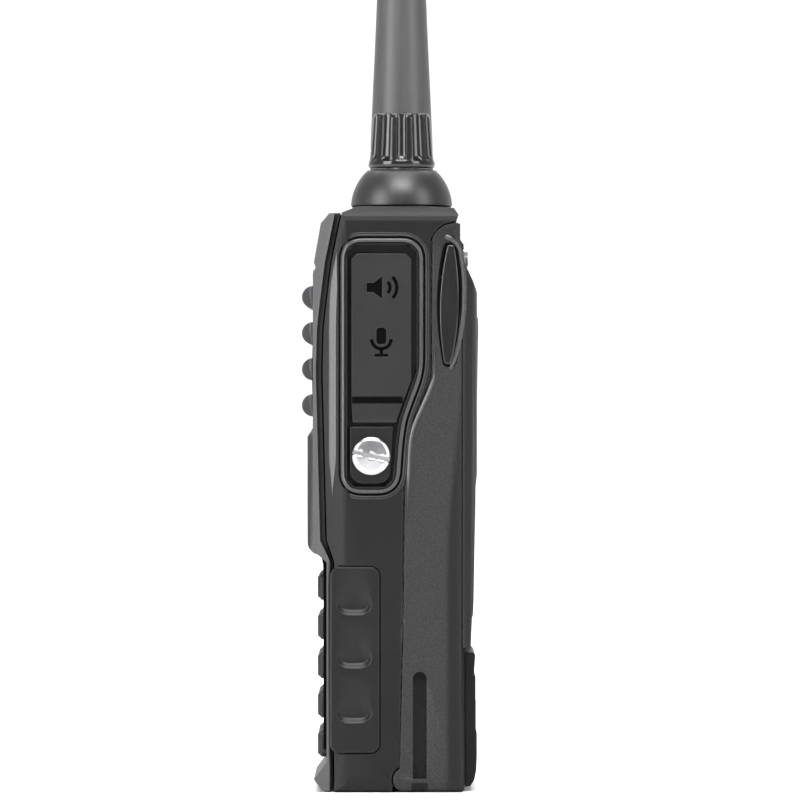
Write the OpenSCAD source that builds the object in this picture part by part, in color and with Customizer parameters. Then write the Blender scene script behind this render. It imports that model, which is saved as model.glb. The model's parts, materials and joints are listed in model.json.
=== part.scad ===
// Handheld two-way radio with a tilt-off battery, a screw-on whip antenna and a rubber jack cover.
// +Z is up, the keypad faces -Y, the jack cover is on +X and the talk button on -X.
// The origin is on the surface that the radio stands on, under the middle of the housing.

/* [Housing] */
// Width of the housing across its flat sides
body_w = 56; // [52:1:70]
// Height of the housing without the antenna and the knob
body_h = 110; // [108:1:134]
// Wall of the front case and the battery case
wall = 1.8; // [1.4:0.1:2.2]
// Thickness of the front wall behind the keypad
front_wall = 1.6; // [1.2:0.1:1.8]
// Joint between two fixed shells
seam = 0.3; // [0.2:0.05:0.4]
// Gap between fixed pieces inside the housing
fit_gap = 0.3; // [0.2:0.05:0.4]
// Gap round a button in its opening
key_gap = 0.25; // [0.15:0.05:0.35]
// Radius of the rounded corners at the back, seen from above
back_corner_r = 5; // [3:0.5:6]
// Radius of the top corners, seen from the front
top_corner_r = 4.5; // [2:0.5:6]
// Radius of the bottom corners, seen from the front
bottom_corner_r = 2.5; // [1:0.5:4]

/* [Keypad] */
// Height of a key
key_h = 5; // [4:0.2:5.4]
// Spacing of the key rows
key_pitch_z = 7.4; // [7:0.1:7.6]
// Height of the middle of the lowest row
key_row_z = 8.9; // [8.6:0.1:9.4]
// Width of a number key
number_w = 13.2; // [11:0.2:13.4]
// Spacing of the number keys
number_pitch = 14.7; // [14.6:0.1:15]
// Width of a function key
function_w = 9.6; // [8:0.2:9.8]
// Spacing of the function keys
function_pitch = 11.2; // [11:0.1:11.6]
// How far a key stands proud of the front
key_proud = 1.7; // [1:0.1:2]
// How far a key goes in
key_travel = 0.6; // [0.3:0.1:0.8]

/* [Screen and speaker] */
// Bottom edge of the raised screen panel
screen_z = 46.5; // [46:0.5:48]
// Height of the raised screen panel
screen_h = 20.3; // [18:0.1:21]
// Width of the screen window
window_w = 38; // [30:1:40]
// Height of the screen window
window_h = 16; // [12:0.5:17]
// Radius of the loudspeaker
speaker_r = 15; // [12:0.5:15.5]
// Number of ribs across the grille
ribs = 4; // [3:1:5]
// Spacing of the grille ribs
rib_pitch = 6.8; // [6:0.1:7]
// Radius of a grille rib
rib_r = 2.1; // [1.5:0.1:2.3]

/* [Side controls] */
// Length of the talk button
ptt_l = 27; // [22:1:27]
// Width of the talk button
ptt_w = 8.6; // [7:0.2:9]
// Length of each small side key
side_key_l = 7.4; // [5.4:0.2:7.6]
// How far the side buttons stand proud
side_proud = 1.1; // [0.6:0.1:1.4]
// How far the side buttons go in
side_travel = 0.8; // [0.4:0.1:1]

/* [Jacks and cover] */
// Diameter of the upper jack's plug
upper_jack_d = 2.5; // [2.5, 3.5]
// Diameter of the lower jack's plug
lower_jack_d = 3.5; // [2.5, 3.5]
// Spacing of the two jacks
jack_pitch = 11; // [10:0.5:12]
// Clearance between a plug and its jack, on the radius
plug_fit = 0.05; // [0.02:0.01:0.1]
// Thickness of the rubber cover
cover_t = 1.6; // [1.2:0.1:1.8]
// Radius of the head of the cover screw
screw_head_r = 3.55; // [3:0.05:3.8]
// Radius of the thread of the cover screw
screw_r = 1.25; // [1:0.05:1.4]

/* [Knob and antenna] */
// Distance of the knob and the antenna from the middle
top_spread = 14.2; // [13:0.2:15]
// Largest radius of the knob
knob_r = 6.3; // [5.5:0.1:7]
// Height of the knob
knob_h = 10.3; // [8:0.1:12]
// Number of grooves round the knob
flutes = 18; // [12:1:24]
// Radius of the control's shaft
shaft_r = 2.2; // [1.5:0.1:2.4]
// Running clearance of the shaft, on the radius
shaft_fit = 0.08; // [0.05:0.01:0.1]
// Radius of a collar at its foot
collar_r = 9.6; // [8:0.1:10.4]
// Height of a collar
collar_h = 7; // [6:0.1:8]
// Length of the antenna above its collar
antenna_l = 150; // [80:1:220]
// Largest radius of the antenna
antenna_r = 6.1; // [5.5:0.1:7]
// Outer radius of the connector's thread
connector_r = 3.1; // [2.8:0.05:3.2]

/* [Battery] */
// Depth of the battery behind the origin
battery_y = 16.4; // [15.6:0.1:18]
// How far the battery's front lies behind the origin at its foot
battery_front_y = 1.9; // [1.6:0.1:2.2]
// Radius of the nose that the battery tilts on
nose_r = 2.4; // [2:0.1:2.6]
// Running gap round the nose
nose_gap = 0.3; // [0.2:0.05:0.35]
// Length of the release buttons
release_l = 22.4; // [18:0.2:24]
// Width of the release buttons
release_w = 3.6; // [3:0.1:3.8]
// How far a release button goes in
release_travel = 0.8; // [0.5:0.1:0.9]
// Distance between the two belt clip screws
clip_pitch = 24; // [18:1:30]
// Thread radius of the belt clip screws
clip_screw_r = 1.5; // [1.2:0.1:1.6]

/* [Hidden] */
$fn = 48;
eps = 0.01;
far = 60;
hw = body_w / 2;
in_w = hw - wall;
top = body_h;

// Depth planes of the front half
case_y = -10.6;
cavity_y = case_y + front_wall;
plate_y = -11.9;
screen_y = -15.5;
grille_y = -14.5;
board_y = -4.4;
board_t = 1.0;
board_hw = 19.4;
deck_y = 7.85;
chassis_t = 2;

// Keys
key_flange = 0.55;
flange_t = 0.6;
key_face_y = plate_y - key_proud;
flange_y = cavity_y + 0.2;
mat_y = flange_y + flange_t + key_travel + 0.2;
function_z = key_row_z + 4 * key_pitch_z;
mat_top = function_z + key_h / 2 + 0.9;
post_r = 1.9;
post_x = number_pitch + number_w / 2 + key_flange + 0.25 + post_r;
post_head_r = min(2.2, in_w - post_x);

// Screen and speaker
screen_mid_z = screen_z + screen_h / 2;
speaker_z = top - 26;
grille_hw = 22;
mic_x = 15;
led_x = -19.5;
led_z = top - 7.2;
grille_z0 = speaker_z - 14.2;
grille_z1 = speaker_z + 14.2;

// Dark groove along the back of the fascia, on both sides
shadow_w = 1.1;
plate_shadow_w = 0.6;
shadow_x = hw - 4.2;

// Battery seam levels
step_z = top - 44.3;
step_top_z = step_z + 12.2;
pivot_y = battery_front_y + 1.1;
pivot_z = nose_r;
nose_z = 2 * nose_r;

// Ribs on the chassis that run in grooves of the battery and close the joint to light
rib_x = in_w - 7.2;
rib_w = 1;
rib_proud = 0.45;

// Jack recess on the +X side
recess_z0 = top - 52.6;
recess_z1 = top - 7.2;
recess_y0 = -8;
recess_y1 = 5;
recess_x = hw - cover_t;
pad_x = recess_x - wall;
floor_gap = 0.2;
cover_x = recess_x + floor_gap;
cover_face_x = cover_x + cover_t;
hinge_z = top - 40;
hinge_x = cover_x + cover_t / 2;
strap_y0 = -7;
strap_y1 = 1.3;
screw_y = -3.5;
screw_z = top - 46.8;
jack_y = 0;
jack_z = top - 21;

// Top controls
top_y = 2.2;
top_z = top + 0.2;
roof_z = top - 1.9;
collar_top_r = 6.2;
collar_foot = 0.1;
connector_flange = 5;
knob_z = top_z + collar_h + 0.4;
bushing_r = 3.4;
control_z = top - 10.4;

// Side buttons on the -X side
ptt_y = -3.9;
ptt_z = top - 28;
call_z = top - 8.9;
monitor_z = top - 54;
side_flange = 0.8;

// Battery inner planes
split_y = battery_y - 2.9;
cover_z0 = 27;
contact_top_z = 21.6;
cover_z1 = top - 11.7;
release_y = 11.15;
release_z = top - 18.4;
release_tilt = 1.5;
clip_z = top - 8.9;
clip_head_r = 2.1;
contact_z = top - 18;

keys = ["key_1", "key_2", "key_3", "key_4", "key_5", "key_6",
        "key_7", "key_8", "key_9", "key_star", "key_0", "key_hash"];
function_keys = ["key_menu", "key_up", "key_down", "key_exit"];

// Points of an arc round (u, v), from angle a to angle b
function arc(u, v, r, a, b, n = 8) =
    [for (i = [0:n]) let (t = a + (b - a) * i / n) [u + r * cos(t), v + r * sin(t)]];

// The same outline mirrored on its first coordinate and joined on
function both_sides(p) = concat(p, [for (i = [len(p) - 1:-1:0]) [-p[i][0], p[i][1]]]);

// An outline in (y, z) carried along X, one in (x, z) along Y, one in (x, y) along Z
module along_x(a, b) translate([a, 0, 0]) rotate([90, 0, 90]) linear_extrude(b - a) children();
module along_y(a, b) translate([0, b, 0]) rotate([90, 0, 0]) linear_extrude(b - a) children();
module along_z(a, b) translate([0, 0, a]) linear_extrude(b - a) children();

module block(lo, hi) translate(lo) cube(hi - lo);
module rod_x(y, z, r, a, b) translate([a, y, z]) rotate([0, 90, 0]) cylinder(r = r, h = b - a);
module rod_y(x, z, r, a, b) translate([x, a, z]) rotate([-90, 0, 0]) cylinder(r = r, h = b - a);
module rod_z(x, y, r, a, b) translate([x, y, a]) cylinder(r = r, h = b - a);

// Rectangle with round corners, centred
module round_rect(w, h, r) {
    square([w, h - 2 * r], center = true);
    square([w - 2 * r, h], center = true);
    for (x = [-1, 1], y = [-1, 1]) translate([x * (w / 2 - r), y * (h / 2 - r)]) circle(r);
}

// Housing seen from above: flat sides, bevelled front corners, rounded back corners
module plan(inset = 0) {
    w = hw - inset;
    b = battery_y - inset;
    r = back_corner_r;
    polygon(both_sides(concat(
        [[w - 4.4, -far], [w - 4.4, screen_y + 0.4], [w - 3.1, grille_y], [w - 2, plate_y + 0.3],
         [w, case_y + 2.4]],
        arc(w - r, b - r, r, 0, 90))));
}

// Housing seen from the front
module front_view(inset = 0) {
    w = hw - inset;
    polygon(both_sides(concat(
        arc(w - bottom_corner_r, inset + bottom_corner_r, bottom_corner_r, -90, 0, 6),
        arc(w - top_corner_r, top + 1 - inset - top_corner_r, top_corner_r, 0, 90))));
}

// Back of the fascia and front of the case, from the top down, moved by d along Y
function fascia_line(d) = [
    [-9.2 + d, top - 1.1], [-11.1 + d, top - 10.4], [-12 + d, top - 17.5], [-12.6 + d, top - 23],
    [-12.8 + d, top - 31], [-12 + d, screen_z + 0.8], [case_y + d, screen_z - 3.2], [case_y + d, 0]];

// Joint between the housing and the battery, from the foot up, moved by d along Y
function battery_line(d) = let (f = battery_front_y + d, u = deck_y + d) [
    [f, 0], [f, 2.8], [f + 0.5, 29], [f + 0.8, step_z - 10], [f + 1.25, step_z],
    [f + 1.9, step_z + 3], [u - 1.1, step_z + 9.6], [u - 0.1, step_top_z], [u, top - 6]];

// Strip along that joint between two offsets from it, leaving out the foot and g at both ends
module battery_strip(a, b, g) intersection() {
    polygon(concat(battery_line(a), [for (i = [8:-1:0]) battery_line(b)[i]]));
    translate([-far, nose_z + 2.4 + g]) square([2 * far, top - nose_z - 8.6 - 2 * g]);
}

// Under side of the hood over the battery, dropped by g
function hood_line(g) = [
    [deck_y + 0.4, top - 5 - g], [deck_y + 1.25, top - 4 - g], [deck_y + 2.45, top - 3.2 - g],
    [battery_y - 3.9, top - 2.7 - g]];

module case_side() polygon(concat(
    [[0.45, 0], [0.45, 1]],
    [for (p = battery_line(-seam / 2)) if (p[1] > 1) p],
    hood_line(0),
    [[battery_y - 3.5, top - 1.5], [battery_y - 4.4, top - 0.2], [6, top_z], [-6, top + 0.1]],
    fascia_line(seam / 2)));

module fascia_side() polygon(concat(
    [for (p = fascia_line(-seam / 2)) if (p[1] > 0) p],
    [[case_y - seam / 2, 0.3], [-12.8, 0.3], [-14.3, 2.4], [-12.2, 5.2], [plate_y, 5.6],
     [plate_y, screen_z - 3.3]],
    arc(screen_y + 2.3, screen_z + 0.4, 2.3, 260, 180, 5),
    [[screen_y, screen_z + screen_h], [grille_y, screen_z + screen_h + 1.6],
     [grille_y, top - 12.5], [grille_y + 0.5, top - 11.4], [grille_y + 0.2, top - 10.4],
     [-13, top - 3.1], [-11.4, top - 1.2]]));

module battery_side() polygon(concat(
    [[pivot_y, 0]],
    arc(pivot_y, pivot_z, nose_r, 270, 120, 16),
    [for (p = battery_line(seam / 2)) if (p[1] > 2 * nose_r) p],
    hood_line(seam),
    [[battery_y - 3.2, top - 3.2], [battery_y - 3.2, top - 6.2], [battery_y - 2.65, top - 7],
     [battery_y - 2.5, top - 10], [battery_y - 1.8, top - 11.7], [battery_y - 0.8, top - 13.9],
     [battery_y, top - 16.1], [battery_y, top - 50], [battery_y - 0.55, top - 55],
     [battery_y - 0.75, 37.7], [battery_y - 1.2, cover_z0], [battery_y - 2.4, cover_z0 - 0.4],
     [battery_y - 2.4, 0.6], [battery_y - 3, 0]]));

// Jack recess: its right edge steps in beside the battery joint
module recess_outline() polygon([
    [recess_y0 + 1.4, recess_z0], [recess_y1 - 6, recess_z0], [recess_y1 - 4.5, recess_z0 + 1.4],
    [recess_y1 - 3.9, step_z], [recess_y1 - 3.3, hinge_z], [recess_y1 - 2.1, hinge_z + 3.4],
    [recess_y1, hinge_z + 9], [recess_y1, recess_z1 - 1.4], [recess_y1 - 1.4, recess_z1],
    [recess_y0 + 1.4, recess_z1], [recess_y0, recess_z1 - 1.4], [recess_y0, recess_z0 + 1.4]]);

// Panel and strap of the rubber cover
module cover_outline() polygon([
    [strap_y0, hinge_z], [strap_y1, hinge_z], [recess_y1 - 2.5, hinge_z + 3.4],
    [recess_y1 - 1, hinge_z + 7.4], [recess_y1 - 1, recess_z1 - 2.6],
    [recess_y1 - 2, recess_z1 - 1.6], [recess_y0 + 1.8, recess_z1 - 1.6],
    [recess_y0 + 0.8, recess_z1 - 2.6], [recess_y0 + 0.8, hinge_z + 3.4]]);

// Plate that the screw holds down, with round lower corners
module plate_outline() polygon(concat(
    arc(recess_y0 + 2.8, recess_z0 + 2.9, 2.3, 180, 270, 6),
    arc(recess_y1 - 7.2, recess_z0 + 2.9, 2.3, 270, 350, 6),
    [[recess_y1 - 4.4, hinge_z - 1.3], [recess_y0 + 0.5, hinge_z - 1.3]]));

module front_case() color([0.09, 0.09, 0.1]) difference() {
    intersection() {
        along_x(-hw, hw) case_side();
        along_y(-far, far) front_view();
        along_z(-1, top + 2) plan();
    }
    // Inside, open at the back for the chassis
    difference() {
        union() {
            block([-in_w, cavity_y, wall], [in_w, far, top - 4.2]);
            block([-in_w + 2, cavity_y, wall], [in_w - 2, deck_y - 2, roof_z]);
        }
        // Thicker wall behind the jack recess
        block([pad_x, cavity_y - 1, top - 55], [far, 5.2, top - 5.6]);
        // Screw posts
        for (p = post_places()) rod_y(p[0], p[1], post_r, cavity_y - 1, post_end(p[1]));
        // Hood over the battery
        along_x(-hw, hw) polygon(concat([[deck_y - 0.1, top + 1], [deck_y - 0.1, top - 5.6]],
            hood_line(0), [[far, top - 2.7], [far, top + 1]]));
    }
    for (p = post_places()) rod_y(p[0], p[1], 0.95, cavity_y + 1, far);
    // Cradle for the battery's nose
    rod_x(pivot_y, pivot_z, nose_r + nose_gap, -far, far);
    // Jack recess, its screw and its plug holes
    along_x(recess_x, far) recess_outline();
    rod_x(screw_y, screw_z, screw_r + 0.1, pad_x - 1, far);
    for (s = [0, 1]) rod_x(jack_y, jack_z + (0.5 - s) * jack_pitch, 3, pad_x - 1, far);
    // Seats of the grip pads
    for (s = [0, 1]) mirror([s, 0, 0])
        translate([0, -6.55, 24.9]) along_x(hw - 0.9, far) round_rect(9.7, 35.4, 2);
    // Side buttons
    side_opening(ptt_z, ptt_w, ptt_l);
    side_opening(call_z, 5, side_key_l);
    side_opening(monitor_z, 5, side_key_l);
    // Front openings
    rod_y(0, speaker_z, speaker_r - 1.2, -far, 0);
    translate([0, 0, screen_mid_z]) along_y(-far, 0) round_rect(window_w + 2, window_h + 1, 1);
    key_openings(key_gap);
    rod_y(led_x, led_z, 1.2, -far, 0);
    rod_y(mic_x, screen_z - 2.4, 0.5, -far, 0);
    // Top openings
    rod_z(top_spread, top_y, bushing_r + 0.15, roof_z - 1, far + top);
    rod_z(-top_spread, top_y, connector_r + 0.15, roof_z - 1, far + top);
    rod_z(0, top_y, 2.8, roof_z - 1, far + top);
}

// Places of the posts that the chassis is screwed to, in (x, z)
function post_places() = concat(
    [for (x = [-post_x, post_x], z = [key_row_z, mat_top + 0.5 + post_r]) [x, z]],
    [[0, top - 7.6]]);
function chassis_back(z) = (z > step_z ? deck_y : battery_front_y + 0.1) - seam / 2;
function post_end(z) = chassis_back(z) - chassis_t - 0.35;

module side_opening(z, w, l)
    translate([0, ptt_y, z]) along_x(-far, -in_w + 1)
        round_rect(w + 2 * key_gap, l + 2 * key_gap, w / 2 - 0.1);

module key_openings(g) {
    for (i = [0:11]) key_place(i) along_y(-far, 0) round_rect(number_w + 2 * g, key_h + 2 * g, 1.2);
    for (i = [0:3]) function_place(i)
        along_y(-far, 0) round_rect(function_w + 2 * g, key_h + 2 * g, 1.2);
}

module key_place(i)
    translate([(i % 3 - 1) * number_pitch, 0, function_z - (floor(i / 3) + 1) * key_pitch_z])
        children();
module function_place(i) translate([(i - 1.5) * function_pitch, 0, function_z]) children();

module front_fascia() color([0.07, 0.07, 0.08]) difference() {
    intersection() {
        along_x(-hw, hw) fascia_side();
        along_y(-far, far) front_view(0.2);
        along_z(-1, top + 2) plan();
    }
    // Seat of the grille, with a shelf behind it
    translate([0, 0, speaker_z]) along_y(-far, grille_y + 1.5)
        round_rect(2 * grille_hw + 0.4, grille_z1 - grille_z0 + 0.4, 3.2);
    rod_y(0, speaker_z, speaker_r, -far, 0);
    // Screen window and the space behind it
    translate([0, 0, screen_mid_z]) along_y(-far, screen_y + 1.3)
        round_rect(window_w + 0.3, window_h + 0.3, 1.5);
    translate([0, 0, screen_mid_z]) along_y(-far, 0) round_rect(window_w - 1, window_h - 1, 1);
    translate([0, 0, screen_mid_z]) along_y(screen_y + 1.9, 0)
        round_rect(window_w + 2, window_h + 1, 1);
    key_openings(key_gap);
    rod_y(led_x, led_z, 1.2, -far, 0);
    rod_y(mic_x, screen_z - 2.4, 0.5, -far, 0);
    for (s = [0, 1]) mirror([s, 0, 0]) along_x(shadow_x, far) polygon(concat(fascia_line(0.5),
        [for (i = [7:-1:0]) fascia_line(-(i < 6 ? shadow_w : plate_shadow_w))[i]]));
}

module speaker_grille() color([0.1, 0.1, 0.11]) difference() {
    union() {
        translate([0, 0, speaker_z]) along_y(grille_y, grille_y + 1.3)
            round_rect(2 * grille_hw, grille_z1 - grille_z0, 3);
        for (i = [0:ribs - 1]) translate([0, grille_y, rib_z(i)])
            intersection() {
                rod_x(0, 0, rib_r, -grille_hw + 1.6, grille_hw - 1.6);
                block([-far, -far, -far], [far, 0.6, far]);
            }
    }
    // Sound slots between the ribs
    for (i = [0:ribs], s = [-1, 0, 1])
        translate([s * 10, 0, rib_z(0) + (0.5 - i) * rib_pitch])
            along_y(-far, 0) round_rect(8.4, 1.6, 0.7);
}
function rib_z(i) = speaker_z + ((ribs - 1) / 2 - i) * rib_pitch - 1.1;

module speaker_cloth() color([0.16, 0.16, 0.16])
    rod_y(0, speaker_z, speaker_r - 0.3, grille_y + 1.35, grille_y + 1.6);

module speaker() color([0.35, 0.35, 0.36]) translate([0, cavity_y + 0.2, speaker_z])
    rotate([-90, 0, 0]) rotate_extrude() polygon([
        [0, 1.1], [3.2, 0.8], [speaker_r - 2.6, 0.3], [speaker_r - 1.6, 0], [speaker_r, 0],
        [speaker_r, 1.2], [speaker_r - 2, 1.5], [8.6, 2.6], [8.6, 4], [0, 4]]);

module screen_window() color([0.2, 0.24, 0.26, 0.6])
    translate([0, 0, screen_mid_z]) along_y(screen_y + 0.15, screen_y + 1.2)
        round_rect(window_w, window_h, 1.4);

// Display glass on its backlight and frame, up against the board
module screen_module() color([0.55, 0.6, 0.5]) union() {
    translate([0, 0, screen_mid_z]) along_y(screen_y + 2.1, board_y - fit_gap)
        round_rect(window_w + 1.4, window_h + 0.4, 0.8);
    block([-window_w / 2 - 2, cavity_y + fit_gap, screen_mid_z - window_h / 2 - 0.8],
          [window_w / 2 + 2, board_y - fit_gap, screen_mid_z + window_h / 2 + 0.8]);
}

module keypad_mat() color([0.5, 0.5, 0.52]) difference() {
    block([-in_w + 2, mat_y, key_row_z - key_h / 2 - 1.8], [in_w - 2, board_y - fit_gap, mat_top]);
    for (p = post_places()) rod_y(p[0], p[1], post_r + fit_gap, -far, 0);
}

// A key with rounded edges, its stem through the wall and its flange behind it
module key_shape(w) {
    along_y(key_face_y + 0.5, flange_y + eps) round_rect(w, key_h, 1.1);
    along_y(key_face_y, key_face_y + 0.5 + eps) round_rect(w - 0.9, key_h - 0.9, 0.8);
    along_y(flange_y, flange_y + flange_t)
        round_rect(w + 2 * key_flange, key_h + 2 * key_flange, 1.2);
}
module number_key(i) color([0.13, 0.13, 0.14]) key_place(i) key_shape(number_w);
module function_key(i) color([0.15, 0.15, 0.17]) function_place(i) key_shape(function_w);

// A button in the -X wall: cap, stem and the flange that holds it in
module side_button(z, w, l, proud) translate([0, ptt_y, z]) {
    along_x(-hw - proud + 0.4, -in_w + 0.1 + eps) round_rect(w, l, w / 2 - 0.2);
    along_x(-hw - proud, -hw - proud + 0.4 + eps) round_rect(w - 0.8, l - 0.8, w / 2 - 0.7);
    along_x(-in_w + 0.2, -in_w + 0.2 + side_flange)
        round_rect(w + 1.2, l + 1.2, w / 2 - 0.2);
    along_x(-in_w, -in_w + 0.2 + eps) round_rect(w - 0.4, l - 0.4, w / 2 - 0.5);
}
module ptt_button() color([0.12, 0.12, 0.13]) side_button(ptt_z, ptt_w, ptt_l, side_proud);
module call_key() color([0.16, 0.16, 0.17]) side_button(call_z, 5, side_key_l, side_proud - 0.3);
module monitor_key() color([0.16, 0.16, 0.17])
    side_button(monitor_z, 5, side_key_l, side_proud - 0.3);

// Two rubber pads with three thumb scoops each, one let into each side
module grip_pads() color([0.1, 0.1, 0.1]) for (s = [0, 1]) mirror([s, 0, 0]) difference() {
    translate([0, -6.55, 24.9]) along_x(hw - 0.75, hw + 0.15) round_rect(9.4, 35.1, 1.9);
    for (z = [12.8, 23.1, 33.1]) translate([hw + 0.25, -6.7, z])
        rotate([0, 8, 0]) translate([-0.5, -3.1, 0]) cube([3, 6.2, 5.6]);
}

module jack_cover() color([0.08, 0.08, 0.08]) difference() {
    union() {
        along_x(cover_x, cover_face_x) cover_outline();
        // Rounded edge that the strap bends round
        rod_y(hinge_x, hinge_z, cover_t / 2, strap_y0, strap_y1);
    }
    // Groove above the strap
    block([cover_face_x - 0.5, recess_y0, hinge_z + 3.4], [far, recess_y1, hinge_z + 4]);
}

module cover_plate() color([0.09, 0.09, 0.09]) difference() {
    along_x(cover_x, cover_face_x) plate_outline();
    rod_x(screw_y, screw_z, screw_r + 0.15, -far, far);
}

module cover_screw() color([0.85, 0.85, 0.87]) difference() {
    union() {
        translate([cover_face_x + 0.1, screw_y, screw_z]) rotate([0, 90, 0])
            rotate_extrude() polygon([[0, 0], [screw_head_r, 0], [screw_head_r, 0.45],
                [screw_head_r - 0.35, 0.8], [0, 1.05]]);
        rod_x(screw_y, screw_z, screw_r, pad_x - 0.6, cover_face_x + 0.1 + eps);
    }
    translate([cover_face_x + 1, screw_y, screw_z]) rotate([-12, 0, 0])
        cube([1, 2 * screw_head_r + 1, 0.7], center = true);
}

module jack_block() color([0.12, 0.12, 0.12]) difference() {
    block([8.6, -3.1, jack_z - jack_pitch / 2 - 3.6], [pad_x - fit_gap, 3.1,
        jack_z + jack_pitch / 2 + 3.6]);
    rod_x(jack_y, jack_z + jack_pitch / 2, upper_jack_d / 2 + plug_fit, 10.6, far);
    rod_x(jack_y, jack_z - jack_pitch / 2, lower_jack_d / 2 + plug_fit, 9.6, far);
}

module volume_knob() color([0.14, 0.14, 0.15]) translate([top_spread, top_y, knob_z]) difference() {
    rotate_extrude() polygon([
        [0, 0], [knob_r - 0.3, 0], [knob_r, 0.4], [knob_r - 0.2, 2.6],
        [knob_r - 0.85, knob_h - 0.7], [knob_r - 1.35, knob_h], [0, knob_h]]);
    for (i = [0:flutes - 1]) rotate([0, 0, i * 360 / flutes]) translate([knob_r + 0.35, 0, 1.6])
        rotate([0, -5.5, 0]) cylinder(r = 0.75, h = knob_h + 4);
    translate([0, 0, -1]) cylinder(r = shaft_r + 0.05, h = knob_h - 1.4);
}

module volume_shaft() color([0.75, 0.75, 0.76])
    rod_z(top_spread, top_y, shaft_r, control_z + 2, knob_z + knob_h - 2.6);

module volume_control() color([0.3, 0.45, 0.35]) difference() {
    union() {
        block([top_spread - 5, -2.9, control_z], [top_spread + 5, deck_y - chassis_t - 0.6, top - 4.6]);
        rod_z(top_spread, top_y, bushing_r, top - 4.7, top_z + collar_h - 1.8);
    }
    rod_z(top_spread, top_y, shaft_r + shaft_fit, control_z + 1.9, far + top);
}

// Conical collar round a stem of radius r, on the roof at x
module collar(x, r) let (h = collar_h - collar_foot)
    translate([x, top_y, top_z + collar_foot]) rotate_extrude() polygon([
        [r, 0], [collar_r, 0], [collar_r - 0.15, 0.16 * h], [collar_r - 1.8, 0.7 * h],
        [collar_top_r + 0.15, 0.97 * h], [collar_top_r - 0.1, h], [r, h]]);
module knob_collar() color([0.1, 0.1, 0.1]) collar(top_spread, bushing_r + 0.2);
module antenna_collar() color([0.1, 0.1, 0.1]) collar(-top_spread, connector_r + 0.3);

module antenna_sheath() color([0.07, 0.07, 0.07]) translate([-top_spread, top_y, knob_z])
    difference() {
        rotate_extrude() polygon(concat(
            [[0, 0], [antenna_r - 0.4, 0], [antenna_r, 0.5], [antenna_r - 0.5, 10.5],
             [antenna_r - 1.3, 31], [antenna_r - 1.85, 52]],
            arc(0, antenna_l - 3.4, 3.4, 0, 90, 8)));
        translate([0, 0, -1]) cylinder(r = 4.55, h = 10.9);
        cylinder(r = 1.3, h = antenna_l - 12);
    }
module antenna_coil() color([0.7, 0.45, 0.25])
    rod_z(-top_spread, top_y, 1.1, knob_z + 10.1, knob_z + antenna_l - 12.4);
module antenna_ferrule() color([0.8, 0.7, 0.4]) difference() {
    rod_z(-top_spread, top_y, 4.45, knob_z + 0.1, knob_z + 9.8);
    rod_z(-top_spread, top_y, connector_r + 0.1, knob_z - 1, knob_z + 8);
}
module antenna_connector() color([0.82, 0.72, 0.42]) {
    rod_z(-top_spread, top_y, connector_r, roof_z - 4, knob_z + 7.2);
    block([-top_spread - connector_flange, -2.9, roof_z - 4],
          [-top_spread + connector_flange, deck_y - chassis_t - 0.6, roof_z - 0.2]);
}

module torch_lens() color([0.85, 0.88, 0.9, 0.7]) {
    rod_z(0, top_y, 2.6, roof_z - 0.1, top_z + 0.5);
    rod_z(0, top_y, 3.4, roof_z - 1.6, roof_z - 0.2);
    rod_z(0, top_y, 2.6, roof_z - 0.3, roof_z);
}

module status_light() color([0.6, 0.8, 0.6]) {
    rod_y(led_x, led_z, 1.05, -14, cavity_y + 0.2);
    rod_y(led_x, led_z, 1.9, cavity_y + 0.15, cavity_y + 1);
}

module chassis() color([0.62, 0.63, 0.65]) {
    chassis_plate();
    for (s = [0, 1]) mirror([s, 0, 0])
        along_x(rib_x, rib_x + rib_w) battery_strip(-1, rib_proud, 0);
}
module chassis_plate() difference() {
    intersection() {
        along_x(-in_w + fit_gap, in_w - fit_gap) polygon(concat(
            [for (p = battery_line(-seam / 2)) if (p[1] > 2) p],
            [[deck_y - seam / 2, top - 6], [deck_y - 0.3 - seam / 2, top - 4.6],
             [deck_y - chassis_t, top - 4.6]],
            [for (i = [7:-1:2]) battery_line(-chassis_t - seam / 2)[i] - [0, 1.2]],
            [[battery_front_y - chassis_t, wall + fit_gap],
             [battery_front_y - seam / 2, wall + fit_gap]]));
        along_z(wall + fit_gap, top) plan(wall + fit_gap);
    }
    rod_x(pivot_y, pivot_z, nose_r + nose_gap, -far, far);
    // Room for the thicker wall behind the jack recess
    block([pad_x - fit_gap, -far, top - 55 - fit_gap], [far, 5.2 + fit_gap, top]);
    for (p = post_places()) {
        rod_y(p[0], p[1], 1.5, -far, far);
        rod_y(p[0], p[1], 2.5, chassis_back(p[1]) - 1.1, far);
    }
    for (x = [-6, 0, 6]) rod_y(x, contact_z, 1.25, 0, far);
}

module case_screws() color([0.7, 0.7, 0.72]) for (p = post_places()) {
    rod_y(p[0], p[1], 0.9, cavity_y + 4, chassis_back(p[1]) - 0.9);
    rod_y(p[0], p[1], post_head_r, chassis_back(p[1]) - 1, chassis_back(p[1]) - 0.1);
}

module main_board() color([0.1, 0.35, 0.2]) difference() {
    block([-board_hw, board_y, wall + 0.6], [board_hw, board_y + board_t, top - 12]);
    block([-far, -far, jack_z - 9.5], [-board_hw + 1, 0, far + top]);
}

module board_shield() color([0.75, 0.75, 0.77]) difference() {
    block([-16, board_y + board_t + 0.2, 16], [16, battery_front_y - chassis_t - 0.5, 54]);
    block([-15.6, -far, 16.4], [15.6, battery_front_y - chassis_t - 0.9, 53.6]);
}

module microphone() color([0.7, 0.7, 0.7])
    rod_y(mic_x, screen_z - 2.4, 1.5, cavity_y + 0.2, cavity_y + 2);

module battery_pins() color([0.85, 0.75, 0.4]) for (x = [-6, 0, 6])
    union() {
        rod_y(x, contact_z, 1.05, deck_y - 3.4, deck_y - 0.1);
        rod_y(x, contact_z, 1.8, deck_y - 4.4, deck_y - 3.3);
    }

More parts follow.
